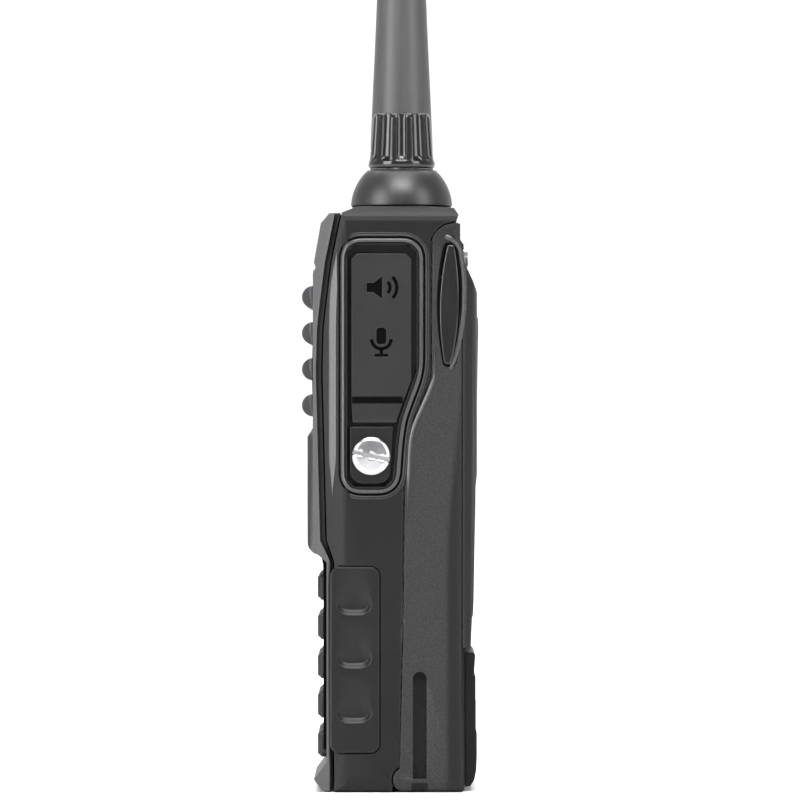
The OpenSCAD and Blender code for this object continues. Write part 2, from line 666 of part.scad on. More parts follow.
module battery_body() intersection() {
    along_x(-hw, hw) battery_side();
    along_y(-far, far) front_view(0.1);
    along_z(-1, top) plan();
}

// Lens with blunt ends, let out by g all round
module release_outline(g)
    let (a = release_l * 0.625, b = release_w / 2, r = (a ^ 2 + b ^ 2) / release_w)
    rotate(-release_tilt) intersection() {
        translate([r - b, 0]) circle(r + g, $fn = 160);
        translate([b - r, 0]) circle(r + g, $fn = 160);
        round_rect(release_w + 2 * g, release_l + 2 * g, b - 0.2);
    }

module battery_case() color([0.08, 0.08, 0.08]) difference() {
    battery_body();
    // Room for the cover
    block([-far, split_y, cover_z0], [far, far, cover_z1]);
    // Inside
    along_x(-in_w, in_w) polygon([
        [battery_front_y + 2.2, 6.4], [battery_front_y + 2.7, step_z - 1],
        [deck_y + 1, step_z + 10.6], [deck_y + 1.6, step_z + 13], [deck_y + 1.6, cover_z1 - 1],
        [far, cover_z1 - 1], [far, cover_z0 + 1], [battery_y - 4, cover_z0 + 1],
        [battery_y - 4, 6.4]]);
    // Release buttons and their flanges
    for (s = [0, 1]) mirror([s, 0, 0]) {
        translate([0, release_y, release_z]) along_x(in_w - 2.4, far) release_outline(key_gap);
        block([in_w - 2.4, deck_y + 1.8, release_z - release_l / 2 + 0.6],
              [in_w + eps, split_y, release_z + release_l / 2 - 0.6]);
        // Charger rail
        along_x(hw - 1.1, far) translate([5.6, 0]) {
            translate([-1.3, 2.6]) square([2.6, 18.8]);
            translate([0, 21.4]) circle(1.3);
        }
    }
    for (x = [-6, 0, 6]) rod_y(x, contact_z, 1.75, 0, deck_y + 2);
    // Grooves for the ribs of the chassis
    for (s = [0, 1]) mirror([s, 0, 0])
        along_x(rib_x - fit_gap, rib_x + rib_w + fit_gap)
            battery_strip(-1, rib_proud + fit_gap, -2 * fit_gap);
    for (x = [-1, 1]) {
        rod_y(x * clip_pitch / 2, clip_z, clip_screw_r + 0.05, deck_y + 2, far);
        rod_y(x * clip_pitch / 2, clip_z, clip_head_r + 0.2, battery_y - 2.55, far);
    }
}

module battery_cover() color([0.09, 0.09, 0.09]) difference() {
    intersection() {
        battery_body();
        block([-far, split_y + seam / 2, cover_z0 + seam / 2], [far, far, cover_z1 - seam / 2]);
    }
    block([-in_w + 3.2, 0, cover_z0 + 2], [in_w - 3.2, battery_y - 1.9, cover_z1 - 5]);
}

module battery_cells() color([0.2, 0.35, 0.6]) for (s = [-1, 1])
    translate([s * 12.7, 0, 7.2]) along_z(0, step_z - 8) translate([0, 8.6])
        round_rect(24.6, 6.6, 2.4);

module battery_board() color([0.1, 0.35, 0.2])
    block([-18, deck_y + 2.1, top - 30], [18, deck_y + 3.1, top - 14]);

// Three supply pads towards the radio and two charging pads at the back
module battery_contacts() color([0.85, 0.75, 0.45]) {
    for (x = [-6, 0, 6]) rod_y(x, contact_z, 1.6, deck_y + seam / 2 + 0.1, deck_y + 1.9);
    for (x = [-9, 9]) translate([x, 0, 14]) along_y(battery_y - 0.55, battery_y - 0.05)
        round_rect(4.6, 6.6, 0.5);
}

module charge_block() color([0.06, 0.06, 0.06]) difference() {
    along_x(-21, 21) polygon([
        [battery_y - 2.25, 0.8], [battery_y - 1.3, 0.9], [battery_y - 0.5, 2.1], [battery_y - 0.1, 4],
        [battery_y, 6.5], [battery_y, 11], [battery_y - 0.25, 11.6], [battery_y - 0.25, contact_top_z],
        [battery_y - 0.55, contact_top_z + 0.2], [battery_y - 0.3, cover_z0 - 1.4],
        [battery_y - 0.7, cover_z0 - 0.9], [battery_y - 2.25, cover_z0 - 0.9]]);
    for (x = [-9, 9]) translate([x, 0, 14]) along_y(battery_y - 0.6, far)
        round_rect(4.8, 6.8, 0.55);
}

module release_button() {
    translate([0, release_y, release_z]) along_x(in_w - 0.3, hw + 0.5) release_outline(0);
    block([in_w - 1.1, deck_y + 2.1, release_z - release_l / 2 + 1.2],
          [in_w - 0.25, split_y - 0.3, release_z + release_l / 2 - 1.2]);
}
module release_button_right() color([0.11, 0.11, 0.11]) release_button();
module release_button_left() color([0.11, 0.11, 0.11]) mirror([1, 0, 0]) release_button();

module release_springs() color([0.7, 0.7, 0.7]) for (s = [0, 1]) mirror([s, 0, 0])
    difference() {
        rod_x(11.4, release_z, 1.5, in_w - 5.2, in_w - 1.95);
        rod_x(11.4, release_z, 1.1, 0, far);
    }

module clip_screws() color([0.8, 0.8, 0.82]) for (x = [-1, 1]) {
    rod_y(x * clip_pitch / 2, clip_z, clip_screw_r, deck_y + 2.6, battery_y - 2.4);
    rod_y(x * clip_pitch / 2, clip_z, clip_head_r, battery_y - 2.5, battery_y - 1.5);
}

front_case();
front_fascia();
speaker_grille();
speaker_cloth();
speaker();
screen_window();
screen_module();
keypad_mat();
for (i = [0:11]) number_key(i);
for (i = [0:3]) function_key(i);
ptt_button();
call_key();
monitor_key();
grip_pads();
jack_cover();
cover_plate();
cover_screw();
jack_block();
volume_knob();
volume_shaft();
volume_control();
knob_collar();
antenna_sheath();
antenna_coil();
antenna_ferrule();
antenna_collar();
antenna_connector();
torch_lens();
status_light();
chassis();
case_screws();
main_board();
board_shield();
microphone();
battery_pins();
battery_case();
battery_cover();
battery_cells();
battery_board();
battery_contacts();
charge_block();
release_button_right();
release_button_left();
release_springs();
clip_screws();
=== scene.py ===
# Handheld two-way radio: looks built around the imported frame. Metres, +Z up, keypad towards -Y.
import json
import math
import bpy
import bmesh
import numpy as np
from mathutils import Matrix, Vector


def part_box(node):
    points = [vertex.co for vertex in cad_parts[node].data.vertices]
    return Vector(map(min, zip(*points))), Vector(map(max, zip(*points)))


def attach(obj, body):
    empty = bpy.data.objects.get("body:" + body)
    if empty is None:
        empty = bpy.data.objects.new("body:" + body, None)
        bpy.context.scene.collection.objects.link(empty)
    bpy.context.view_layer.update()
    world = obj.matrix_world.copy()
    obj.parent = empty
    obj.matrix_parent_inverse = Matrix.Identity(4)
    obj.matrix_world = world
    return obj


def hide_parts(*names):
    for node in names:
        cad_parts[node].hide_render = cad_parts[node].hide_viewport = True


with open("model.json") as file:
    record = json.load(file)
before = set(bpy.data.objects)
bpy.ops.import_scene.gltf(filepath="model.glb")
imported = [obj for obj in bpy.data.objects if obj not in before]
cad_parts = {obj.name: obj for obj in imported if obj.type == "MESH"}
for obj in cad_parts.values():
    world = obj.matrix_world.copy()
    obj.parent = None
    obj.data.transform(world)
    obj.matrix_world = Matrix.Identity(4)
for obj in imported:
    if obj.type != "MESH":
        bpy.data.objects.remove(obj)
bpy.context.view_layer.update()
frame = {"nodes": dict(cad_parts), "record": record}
nodes = frame["nodes"]
mm = 0.001
print("stage: frame loaded,", len(nodes), "nodes")


# Low corner, high corner and middle of a node's box, mm
def lo(name):
    return np.array(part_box(name)[0]) / mm


def hi(name):
    return np.array(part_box(name)[1]) / mm


def mid(name):
    return (lo(name) + hi(name)) / 2


top = hi("front_case")[2] - 0.2      # height of the housing, mm
sideW = hi("front_case")[0]          # half its width
backY = hi("battery_cover")[1]       # back of the battery
screenZ = lo("screen_window")[2] - 2.15
backR = 5.0                          # round back corners


# One number in a shader. Sums, differences and products of these add Math nodes.
class Val:
    def __init__(self, finish, socket):
        self.finish = finish
        self.socket = socket

    def maths(self, operation, *others, clamp=False):
        n = self.finish.node("ShaderNodeMath", {"operation": operation, "use_clamp": clamp},
                             {i: v for i, v in enumerate((self,) + others)})
        return Val(self.finish, n.outputs[0])

    def __add__(self, other):
        return self.maths("ADD", other)

    def __radd__(self, other):
        return self.maths("ADD", other)

    def __sub__(self, other):
        return self.maths("SUBTRACT", other)

    def __rsub__(self, other):
        return (self * -1.0).maths("ADD", other)

    def __mul__(self, other):
        return self.maths("MULTIPLY", other)

    def clamp(self):
        return self.maths("ADD", 0.0, clamp=True)

    # 0 below a, 1 above b, smooth between
    def ramp(self, a, b):
        n = self.finish.node("ShaderNodeMapRange", {"interpolation_type": "SMOOTHSTEP"},
                             {"Value": self, "From Min": a, "From Max": b})
        return Val(self.finish, n.outputs[0])


wornEdge = {"radius": 0.0006, "from": 0.01, "to": 0.16}


# A material under construction: any node comes from node(), the shader's own numbers from shader().
class Finish:
    def __init__(self, name):
        self.mat = bpy.data.materials.new(name)
        self.mat.use_nodes = True
        self.tree = self.mat.node_tree
        self.bsdf = self.tree.nodes["Principled BSDF"]
        self.where = self.node("ShaderNodeTexCoord").outputs["Object"]

    def node(self, kind, settings=None, inputs=None):
        n = self.tree.nodes.new(kind)
        for k, v in (settings or {}).items():
            setattr(n, k, v)
        for k, v in (inputs or {}).items():
            self.put(n.inputs[k], v)
        return n

    def put(self, socket, value):
        if isinstance(value, Val):
            self.tree.links.new(value.socket, socket)
        elif isinstance(value, bpy.types.NodeSocket):
            self.tree.links.new(value, socket)
        else:
            socket.default_value = value

    # object coordinates in millimetres, stretched along the axes by s
    def place(self, s=(1, 1, 1)):
        n = self.node("ShaderNodeMapping", None, {"Vector": self.where, "Scale": tuple(v / mm for v in s)})
        return n.outputs[0]

    def noise(self, scale, detail=3.0, rough=0.55, s=(1, 1, 1)):
        n = self.node("ShaderNodeTexNoise", None, {
            "Vector": self.place(s), "Scale": scale, "Detail": detail, "Roughness": rough})
        return Val(self, n.outputs[0])

    def cells(self, scale, feature="F1", s=(1, 1, 1), smooth=0.4, warp=0.0):
        where = self.place(s)
        if warp:
            shake = self.node("ShaderNodeTexNoise", None, {"Vector": where, "Scale": scale * 0.7,
                                                           "Detail": 2.0})
            where = self.node("ShaderNodeMix", {"data_type": "VECTOR"}, {
                0: warp, 4: where, 5: shake.outputs[1]}).outputs[1]
        inputs = {"Vector": where, "Scale": scale}
        if feature == "SMOOTH_F1":
            inputs["Smoothness"] = smooth
        n = self.node("ShaderNodeTexVoronoi", {"feature": feature}, inputs)
        return Val(self, n.outputs["Distance"])

    def axis(self, i):
        n = self.node("ShaderNodeSeparateXYZ", None, {0: self.where})
        return Val(self, n.outputs[i])

    # 1 on worn outer edges, 0 on flats
    def edges(self):
        soft = self.rounded(wornEdge["radius"])
        flat = self.node("ShaderNodeNewGeometry").outputs["Normal"]
        dot = self.node("ShaderNodeVectorMath", {"operation": "DOT_PRODUCT"}, {0: soft, 1: flat})
        return (1.0 - Val(self, dot.outputs["Value"])).ramp(wornEdge["from"], wornEdge["to"])

    def blend(self, factor, a, b):
        n = self.node("ShaderNodeMix", {"data_type": "RGBA"}, {0: factor, 6: a, 7: b})
        return n.outputs[2]

    def bump(self, height, strength, distance, under=None):
        inputs = {"Height": height, "Strength": strength, "Distance": distance}
        if under is not None:
            inputs["Normal"] = under
        return self.node("ShaderNodeBump", None, inputs).outputs[0]

    def rounded(self, radius):
        return self.node("ShaderNodeBevel", {"samples": 4}, {"Radius": radius}).outputs[0]

    def shader(self, **values):
        for k, v in values.items():
            self.put(self.bsdf.inputs[k.replace("_", " ")], v)
        return self.mat


# A grey, bluer by the share tint
def grey(v, tint=0.0):
    return (v, v, v * (1 + tint), 1.0)


plasticKeys = ("dark", "light", "rough", "spec", "grain", "depth")
plasticRows = {
    "casePlastic": (0.003, 0.006, 0.44, 0.25, 5.0, 0.00004),
    "fasciaPlastic": (0.026, 0.040, 0.44, 0.5, 4.0, 0.00006),
    "softRubber": (0.003, 0.006, 0.40, 0.28, 5.0, 0.00003),
    "keyRubber": (0.010, 0.016, 0.50, 0.4, 7.0, 0.00002),
    # the inner parts' black, also laid as painted shade on strips in grooves, gaps and engravings
    "innerBlack": (0.001, 0.002, 0.80, 0.04, 4.0, 0.00003),
    "knobPlastic": (0.006, 0.010, 0.13, 0.6, 9.0, 0.000004),
    # the collars and the recess ridges are case plastic made several times lighter: a painted highlight over
    # their real reflections
    "collarPlastic": (0.012, 0.018, 0.37, 0.55, 6.0, 0.00003),
    # beads, rims, guards and the recess lip are housing plastic made several times lighter: a painted
    # highlight over their real reflections
    "beadPlastic": (0.028, 0.042, 0.25, 0.55, 5.0, 0.00001),
    "coverRubber": (0.006, 0.010, 0.42, 0.38, 5.0, 0.00003),
}
plasticLook = {name: dict(zip(plasticKeys, row)) for name, row in plasticRows.items()}
moulding = {"broad": 0.09, "wornMix": 0.35, "wornLift": 2.6, "roughFine": 0.10, "roughBroad": 0.12,
            "roughWorn": 0.08, "softEdge": 0.00025, "ior": 1.5}


# Moulded plastic: dark and light mixed by broad clouds, worn edges lighter and smoother, grain as a bump
def mouldedPlastic(name):
    look = plasticLook[name]
    f = Finish(name)
    fine = f.noise(look["grain"], 4.0, 0.6)
    broad = f.noise(moulding["broad"], 3.0)
    worn = f.edges()
    colour = f.blend(broad, grey(look["dark"], 0.06), grey(look["light"], 0.06))
    colour = f.blend(worn * moulding["wornMix"], colour, grey(look["light"] * moulding["wornLift"], 0.04))
    rough = look["rough"] + (fine - 0.5) * moulding["roughFine"] + (broad - 0.5) * moulding["roughBroad"]
    rough = rough - worn * moulding["roughWorn"]
    return f.shader(Base_Color=colour, Roughness=rough.clamp(), IOR=moulding["ior"],
                    Specular_IOR_Level=look["spec"],
                    Normal=f.bump(fine, 0.5, look["depth"], f.rounded(moulding["softEdge"])))


grain = {"cell": 3.0, "smooth": 0.35, "warp": 0.22, "edgeLow": 10.7, "edgeHigh": 13.3, "edgeSoft": 0.7,
         "rise": (42.0, 80.0), "fadeTop": (106.0, 98.0), "least": 0.3, "spec": 0.28, "depth": 0.00013}
mottling = {"scale": 2.3, "detail": 5.0, "rough": 0.72, "stretch": (1, 1, 1.25), "range": (0.30, 0.70)}
batteryShades = {"dark": 0.004, "light": 0.030, "grained": 0.020, "worn": 0.04, "groove": 0.001,
                 "rough": 0.47, "grainSmoother": 0.05, "roughFine": 0.12, "grooveRougher": 0.3}
# charging groove whose floor gets painted shade: middle, half width, top, depth of the mask, soft edge
grooveShadeBox = {"y": 5.6, "halfW": 1.45, "top": 23.4, "sunk": 0.3, "soft": 0.15}


# Pebbled grain over the sides. It ends along a line that leans back with height, and the rear stays smooth.
# The floor of the charging groove is painted near black and rougher: painted shade in the groove.
def grainedPlastic(name):
    f, shade = Finish(name), batteryShades
    pebble = f.cells(grain["cell"], "SMOOTH_F1", (1, 1, 1), grain["smooth"], grain["warp"])
    fine = f.noise(8.0, 4.0, 0.6)
    x = f.axis(0).maths("ABSOLUTE") * 1000.0
    y = f.axis(1) * 1000.0
    z = f.axis(2) * 1000.0
    edge = z.ramp(*grain["rise"]) * (grain["edgeHigh"] - grain["edgeLow"]) + grain["edgeLow"]
    mask = (edge - y).ramp(-grain["edgeSoft"], grain["edgeSoft"])
    mask = mask * (grain["least"] + z.ramp(*grain["fadeTop"]) * (1 - grain["least"]))
    # painted shade: the floor of the charging groove turns near black
    across = (y - grooveShadeBox["y"]).maths("ABSOLUTE").ramp(grooveShadeBox["halfW"] + grooveShadeBox["soft"],
                                                         grooveShadeBox["halfW"])
    sunk = x.ramp(sideW - grooveShadeBox["sunk"] / 2, sideW - grooveShadeBox["sunk"])
    groove = across * sunk * z.ramp(grooveShadeBox["top"] + 0.3, grooveShadeBox["top"])
    mottle = f.noise(mottling["scale"], mottling["detail"], mottling["rough"], mottling["stretch"])
    mottle = mottle.ramp(*mottling["range"])
    relief = (1.0 - pebble * 1.6) * mask + fine * 0.2
    colour = f.blend(mottle * mask, grey(shade["dark"], 0.05), grey(shade["light"], 0.03))
    colour = f.blend(mask * 0.5, colour, grey(shade["grained"], 0.03))
    colour = f.blend(f.edges() * 0.3, colour, grey(shade["worn"]))
    colour = f.blend(groove, colour, grey(shade["groove"]))
    rough = shade["rough"] - mask * shade["grainSmoother"] + (fine - 0.5) * shade["roughFine"]
    rough = rough + groove * shade["grooveRougher"]
    return f.shader(Base_Color=colour, Roughness=rough.clamp(), IOR=moulding["ior"],
                    Specular_IOR_Level=grain["spec"],
                    Normal=f.bump(relief, 0.5, grain["depth"], f.rounded(moulding["softEdge"])))


whipLook = {"dark": 0.040, "light": 0.064, "rough": 0.42, "roughFine": 0.14, "roughStreak": 0.16,
            "stretch": (1, 1, 0.06), "spec": 0.45, "depth": 0.00002}


# Moulded rubber: long streaks up the whip over a fine grain
def antennaRubber():
    f, look = Finish("antennaRubber"), whipLook
    fine = f.noise(5.0, 4.0, 0.6)
    streak = f.noise(1.2, 3.0, 0.6, look["stretch"])
    colour = f.blend(streak, grey(look["dark"], 0.03), grey(look["light"], 0.03))
    rough = look["rough"] + (fine - 0.5) * look["roughFine"] + (streak - 0.5) * look["roughStreak"]
    return f.shader(Base_Color=colour, Roughness=rough.clamp(), IOR=moulding["ior"],
                    Specular_IOR_Level=look["spec"],
                    Normal=f.bump(fine * 0.6 + streak * 0.4, 0.4, look["depth"]))


metalLook = {
    "brightNickel": {"colour": (0.86, 0.86, 0.87, 1), "rough": 0.16, "scratch": 0.000006},
    "platedSteel": {"colour": (0.60, 0.61, 0.62, 1), "rough": 0.34, "scratch": 0.00001},
    "goldContact": {"colour": (0.85, 0.66, 0.30, 1), "rough": 0.22, "scratch": 0.000006},
    "castMetal": {"colour": (0.56, 0.57, 0.58, 1), "rough": 0.50, "scratch": 0.00003},
    "copperWire": {"colour": (0.72, 0.40, 0.22, 1), "rough": 0.30, "scratch": 0.00001},
    "shieldTin": {"colour": (0.64, 0.65, 0.66, 1), "rough": 0.30, "scratch": 0.00001},
}


metalWear = {"clouded": 0.86, "roughFine": 0.16, "roughCloud": 0.08, "softEdge": 0.0001}


# Bare metal: clouds take the colour down to the clouded share, fine noise stretched along Y roughens it
def metal(name):
    look, wear = metalLook[name], metalWear
    f = Finish(name)
    fine = f.noise(9.0, 5.0, 0.65, (1, 0.12, 1))
    cloud = f.noise(0.5, 3.0)
    colour = f.blend(cloud, tuple(wear["clouded"] * c for c in look["colour"][:3]) + (1,), look["colour"])
    rough = look["rough"] + (fine - 0.5) * wear["roughFine"] + (cloud - 0.5) * wear["roughCloud"]
    return f.shader(Base_Color=colour, Roughness=rough.clamp(), Metallic=1.0,
                    Normal=f.bump(fine, 0.35, look["scratch"], f.rounded(wear["softEdge"])))


spunLook = {"dark": (0.44, 0.44, 0.45, 1), "light": (0.54, 0.54, 0.55, 1), "rough": 0.26, "rings": 900.0}


# Faced metal: fine rings about the screw's axis
def spunMetal(name, centre):
    f = Finish(name)
    place = f.node("ShaderNodeMapping", None, {
        "Vector": f.where, "Location": tuple(-c * mm for c in centre)})
    rings = f.node("ShaderNodeTexWave", {"wave_type": "RINGS", "rings_direction": "X"}, {
        "Vector": place.outputs[0], "Scale": spunLook["rings"], "Distortion": 0.6, "Detail": 2.0})
    cloud = f.noise(0.6, 3.0)
    return f.shader(Base_Color=f.blend(cloud, spunLook["dark"], spunLook["light"]), Metallic=1.0,
                    Roughness=(spunLook["rough"] + (cloud - 0.5) * 0.1).clamp(),
                    Normal=f.bump(Val(f, rings.outputs[1]), 0.5, 0.000012))


clearLook = {"wiped": 0.8, "coat": 0.6, "coatRough": 0.04, "ior": 1.49}


# Window or lens: wiping marks take the colour down to the wiped share, with a clear coat over them
def clearPlastic(name, colour, rough, alpha=1.0):
    f, look = Finish(name), clearLook
    fine = f.noise(3.0, 3.0)
    wipe = f.noise(0.35, 4.0, 0.6, (1, 1, 0.3))
    return f.shader(Base_Color=f.blend(wipe, colour, tuple(look["wiped"] * c for c in colour[:3]) + (1,)),
                    Roughness=(rough + (wipe - 0.5) * 0.05 + (fine - 0.5) * 0.02).clamp(),
                    Coat_Weight=look["coat"], Coat_Roughness=look["coatRough"], IOR=look["ior"],
                    Alpha=alpha,
                    Normal=f.bump(fine, 0.1, 0.000004))


# Weave or print over a plain inner part: two colours mixed by the distance to the nearest cell
def patterned(name, dark, light, rough, scale):
    f = Finish(name)
    spots = f.cells(scale)
    cloud = f.noise(scale * 0.4, 3.0)
    return f.shader(Base_Color=f.blend((spots * 1.3).clamp(), dark, light),
                    Roughness=(rough + (cloud - 0.5) * 0.15).clamp(), Normal=f.bump(spots, 0.3, 0.00004))


# Ink of the legends, speckled between two whites
def whitePrint():
    f = Finish("whitePrint")
    speck = f.noise(12.0, 3.0)
    return f.shader(Base_Color=f.blend(speck, (0.62, 0.63, 0.64, 1), (0.78, 0.79, 0.80, 1)),
                    Roughness=(0.5 + (speck - 0.5) * 0.2).clamp(),
                    Normal=f.bump(speck, 0.2, 0.00001))


finishes = {n: mouldedPlastic(n) for n in plasticLook}
finishes.update({n: metal(n) for n in metalLook})
finishes["batteryPlastic"] = grainedPlastic("batteryPlastic")
finishes["antennaRubber"] = antennaRubber()
finishes["spunNickel"] = spunMetal("spunNickel", mid("cover_screw"))
finishes["windowClear"] = clearPlastic("windowClear", (0.012, 0.013, 0.014, 1), 0.05, 0.4)
finishes["lensClear"] = clearPlastic("lensClear", (0.75, 0.78, 0.80, 1), 0.08)
finishes["lightPipe"] = clearPlastic("lightPipe", (0.45, 0.52, 0.46, 1), 0.20)
# name: dark, light, roughness, cell scale
patternRows = {
    "screenGlass": ((0.16, 0.18, 0.13, 1), (0.20, 0.23, 0.17, 1), 0.2, 2.0),
    "matSilicone": ((0.34, 0.35, 0.37, 1), (0.44, 0.45, 0.47, 1), 0.5, 1.4),
    "boardGreen": ((0.02, 0.12, 0.05, 1), (0.05, 0.24, 0.10, 1), 0.35, 0.9),
    "cellFilm": ((0.05, 0.12, 0.28, 1), (0.08, 0.18, 0.38, 1), 0.3, 0.2),
    "dustCloth": ((0.012, 0.012, 0.012, 1), (0.05, 0.05, 0.05, 1), 0.9, 2.6),
    "conePaper": ((0.03, 0.03, 0.03, 1), (0.07, 0.07, 0.07, 1), 0.8, 1.2),
    "segmentInk": ((0.012, 0.014, 0.012, 1), (0.02, 0.024, 0.02, 1), 0.4, 3.0),
}
finishes.update({n: patterned(n, *row) for n, row in patternRows.items()})
finishes["whitePrint"] = whitePrint()
print("stage: finishes made,", len(finishes))

# Which finish each record slot stands for
slotFinish = {
    "case_plastic": "casePlastic", "fascia_plastic": "fasciaPlastic",
    "battery_plastic": "batteryPlastic", "soft_rubber": "softRubber", "key_rubber": "keyRubber",
    "knob_plastic": "knobPlastic", "antenna_rubber": "antennaRubber", "mat_silicone": "matSilicone",
    "bright_nickel": "brightNickel", "plated_steel": "platedSteel", "gold_contact": "goldContact",
    "cast_metal": "castMetal", "copper_wire": "copperWire", "board_green": "boardGreen",
    "shield_tin": "shieldTin", "window_clear": "windowClear", "screen_glass": "screenGlass",
    "lens_clear": "lensClear", "light_pipe": "lightPipe", "cloth": "dustCloth",
    "cone_paper": "conePaper", "cell_film": "cellFilm", "inner_black": "innerBlack",
}
nodeSlot = {s["node"]: s["material_slot"] for s in frame["record"]["subparts"]}
nodeBody = {n: b for b, names in frame["record"]["behaviour"]["bodies"].items() for n in names}
for name, obj in nodes.items():
    obj.data.materials.clear()
    obj.data.materials.append(finishes[slotFinish[nodeSlot[name]]])


mergeGap = 0.002                     # points closer than this are one, mm
edgeRound = {"steps": 3, "angle": 28, "flat": 0.6, "plainSharp": 24, "roundedSharp": 40,
             "carvedSharp": 35, "evenWeight": 85}


# A new object with this data, in the scene
def addObject(name, data):
    obj = bpy.data.objects.new(name, data)
    bpy.context.scene.collection.objects.link(obj)
    return obj


# Ring-by-ring faces over a block of points, closed along either way round when asked
def gridFaces(nu, nv, wrapU, wrapV, base=0):
    a, b = np.meshgrid(np.arange(nu if wrapU else nu - 1), np.arange(nv if wrapV else nv - 1), indexing="ij")
    a2, b2 = (a + 1) % nu, (b + 1) % nv
    return base + np.stack([a * nv + b, a2 * nv + b, a2 * nv + b2, a * nv + b2], -1).reshape(-1, 4)


# Merges coincident points and turns every face outwards
def tidyMesh(mesh, merge=mergeGap, angle=40):
    bm = bmesh.new()
    bm.from_mesh(mesh)
    bmesh.ops.remove_doubles(bm, verts=bm.verts, dist=merge * mm)
    bmesh.ops.dissolve_degenerate(bm, edges=bm.edges, dist=merge * mm)
    bmesh.ops.recalc_face_normals(bm, faces=bm.faces)
    bm.to_mesh(mesh)
    bm.free()
    smoothShade(mesh, angle)
    return mesh


# One mesh from several grids of points in mm; each is (points, wrapU, wrapV, capped)
def gridMesh(name, *grids, angle=40):
    verts, faces, base = [], [], 0
    for points, wrapU, wrapV, capped in grids:
        nu, nv = points.shape[:2]
        faces += gridFaces(nu, nv, wrapU, wrapV, base).tolist()
        if capped:
            faces += [list(range(base, base + nv)), list(range(base + (nu - 1) * nv, base + nu * nv))]
        verts.append(points.reshape(-1, 3))
        base += nu * nv
    mesh = bpy.data.meshes.new(name)
    mesh.from_pydata(np.concatenate(verts) * mm, [], faces)
    return tidyMesh(mesh, angle=angle)


# Smooth faces with sharp edges wherever two faces meet at more than the angle
def smoothShade(mesh, angle):
    mesh.polygons.foreach_set("use_smooth", np.ones(len(mesh.polygons), bool))
    mesh.set_sharp_from_angle(angle=math.radians(angle))


# A piece that rides a body, in the finish of its slot unless another is named
def newPiece(mesh, body, slotName, finish=None, replaced=()):
    obj = addObject(mesh.name, mesh)
    mesh.materials.clear()
    mesh.materials.append(finishes[finish or slotFinish[slotName]])
    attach(obj, body)
    if replaced:
        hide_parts(*replaced)
    return obj


# Rounds every edge sharper than the angle
def roundEdges(obj, width):
    cut = obj.modifiers.new("roundEdges", "BEVEL")
    cut.width, cut.segments, cut.limit_method = width * mm, edgeRound["steps"], "ANGLE"
    cut.angle_limit, cut.use_clamp_overlap = math.radians(edgeRound["angle"]), False


# Normals follow the large faces, so small facets beside them don't shade
def evenShade(obj):
    even = obj.modifiers.new("evenShade", "WEIGHTED_NORMAL")
    even.keep_sharp, even.weight = True, edgeRound["evenWeight"]


# A merged copy of a CAD node that stands for it. joined makes one face of each flat. With a width the edges
# are rounded too, and without one the shading is evened out.
def skin(node, width=0.0, joined=False):
    bm = bmesh.new()
    bm.from_mesh(nodes[node].data)
    bmesh.ops.remove_doubles(bm, verts=bm.verts, dist=mergeGap * mm)
    if width or joined:
        bmesh.ops.dissolve_limit(bm, angle_limit=math.radians(edgeRound["flat"]), verts=bm.verts,
                                 edges=bm.edges)
    mesh = bpy.data.meshes.new(node + "_skin")
    bm.to_mesh(mesh)
    bm.free()
    obj = newPiece(mesh, nodeBody[node], nodeSlot[node], replaced=(node,))
    smoothShade(mesh, edgeRound["roundedSharp"] if width else edgeRound["plainSharp"])
    if width:
        roundEdges(obj, width)
    else:
        evenShade(obj)
    return obj


# Turned solid: profile rows are (radius, height). The point at angle t is (r cos t, r sin t, h), laid along
# Z or X, and waves(t, h) multiplies the radius.
def turned(name, profile, centre, sides=96, waves=None, along="z"):
    p = np.array(profile, float)
    t = np.linspace(0, 2 * np.pi, sides, endpoint=False)
    r, h = p[:, 0][:, None], p[:, 1][:, None]
    r = r * (waves(t[None, :], h) if waves else 1.0)
    u, v, w = r * np.cos(t), r * np.sin(t), h + 0 * t
    pts = np.stack([u, v, w] if along == "z" else [w, u, v], -1) + np.array(centre)
    shut = p[0, 0] > 0
    return gridMesh(name, (pts, shut, True, False))


# Corners of an outline replaced by curves, each a quadratic arc from r before the corner to r after it
def rounded(points, radius, steps=6, closed=True):
    p = np.array(points, float)
    out = []
    for i in range(len(p)):
        before, here, after = p[i - 1], p[i], p[(i + 1) % len(p)]
        if not closed and i in (0, len(p) - 1):
            out.append(here[None])
            continue
        a, b = before - here, after - here
        la, lb = np.linalg.norm(a), np.linalg.norm(b)
        r = min(radius, 0.45 * la, 0.45 * lb)
        t = np.linspace(0, 1, steps)[:, None]
        first, last = here + a / la * r, here + b / lb * r
        out.append((1 - t) ** 2 * first + 2 * t * (1 - t) * here + t ** 2 * last)
    return np.concatenate(out)


# Points every step mm along a line through given points
def stepped(points, step=0.8):
    p = np.array(points, float)
    run = np.concatenate([[0], np.cumsum(np.linalg.norm(np.diff(p, axis=0), axis=1))])
    s = np.linspace(0, run[-1], max(int(run[-1] / step), 2))
    return np.stack([np.interp(s, run, p[:, 0]), np.interp(s, run, p[:, 1])], -1)


bevel = {"depths": (-14.5, -11.6, -8.2), "in": (3.1, 2.0, 0.0)}


# Half width of the housing at depth y: bevelled in front, an arc of radius backR at the back
def sideX(y):
    front = np.interp(y, bevel["depths"], sideW - np.array(bevel["in"]))
    past = np.clip(y - (backY - backR), 0, backR)
    return front - backR + np.sqrt(backR ** 2 - past ** 2)


# 0 below a, 1 above b, 3t^2 - 2t^3 between
def smoothStep(x, a, b):
    t = np.clip((x - a) / (b - a), 0, 1)
    return t * t * (3 - 2 * t)


stripEnd = {"under": 0.35, "wide": 1.1, "least": 0.02, "rise": 8}


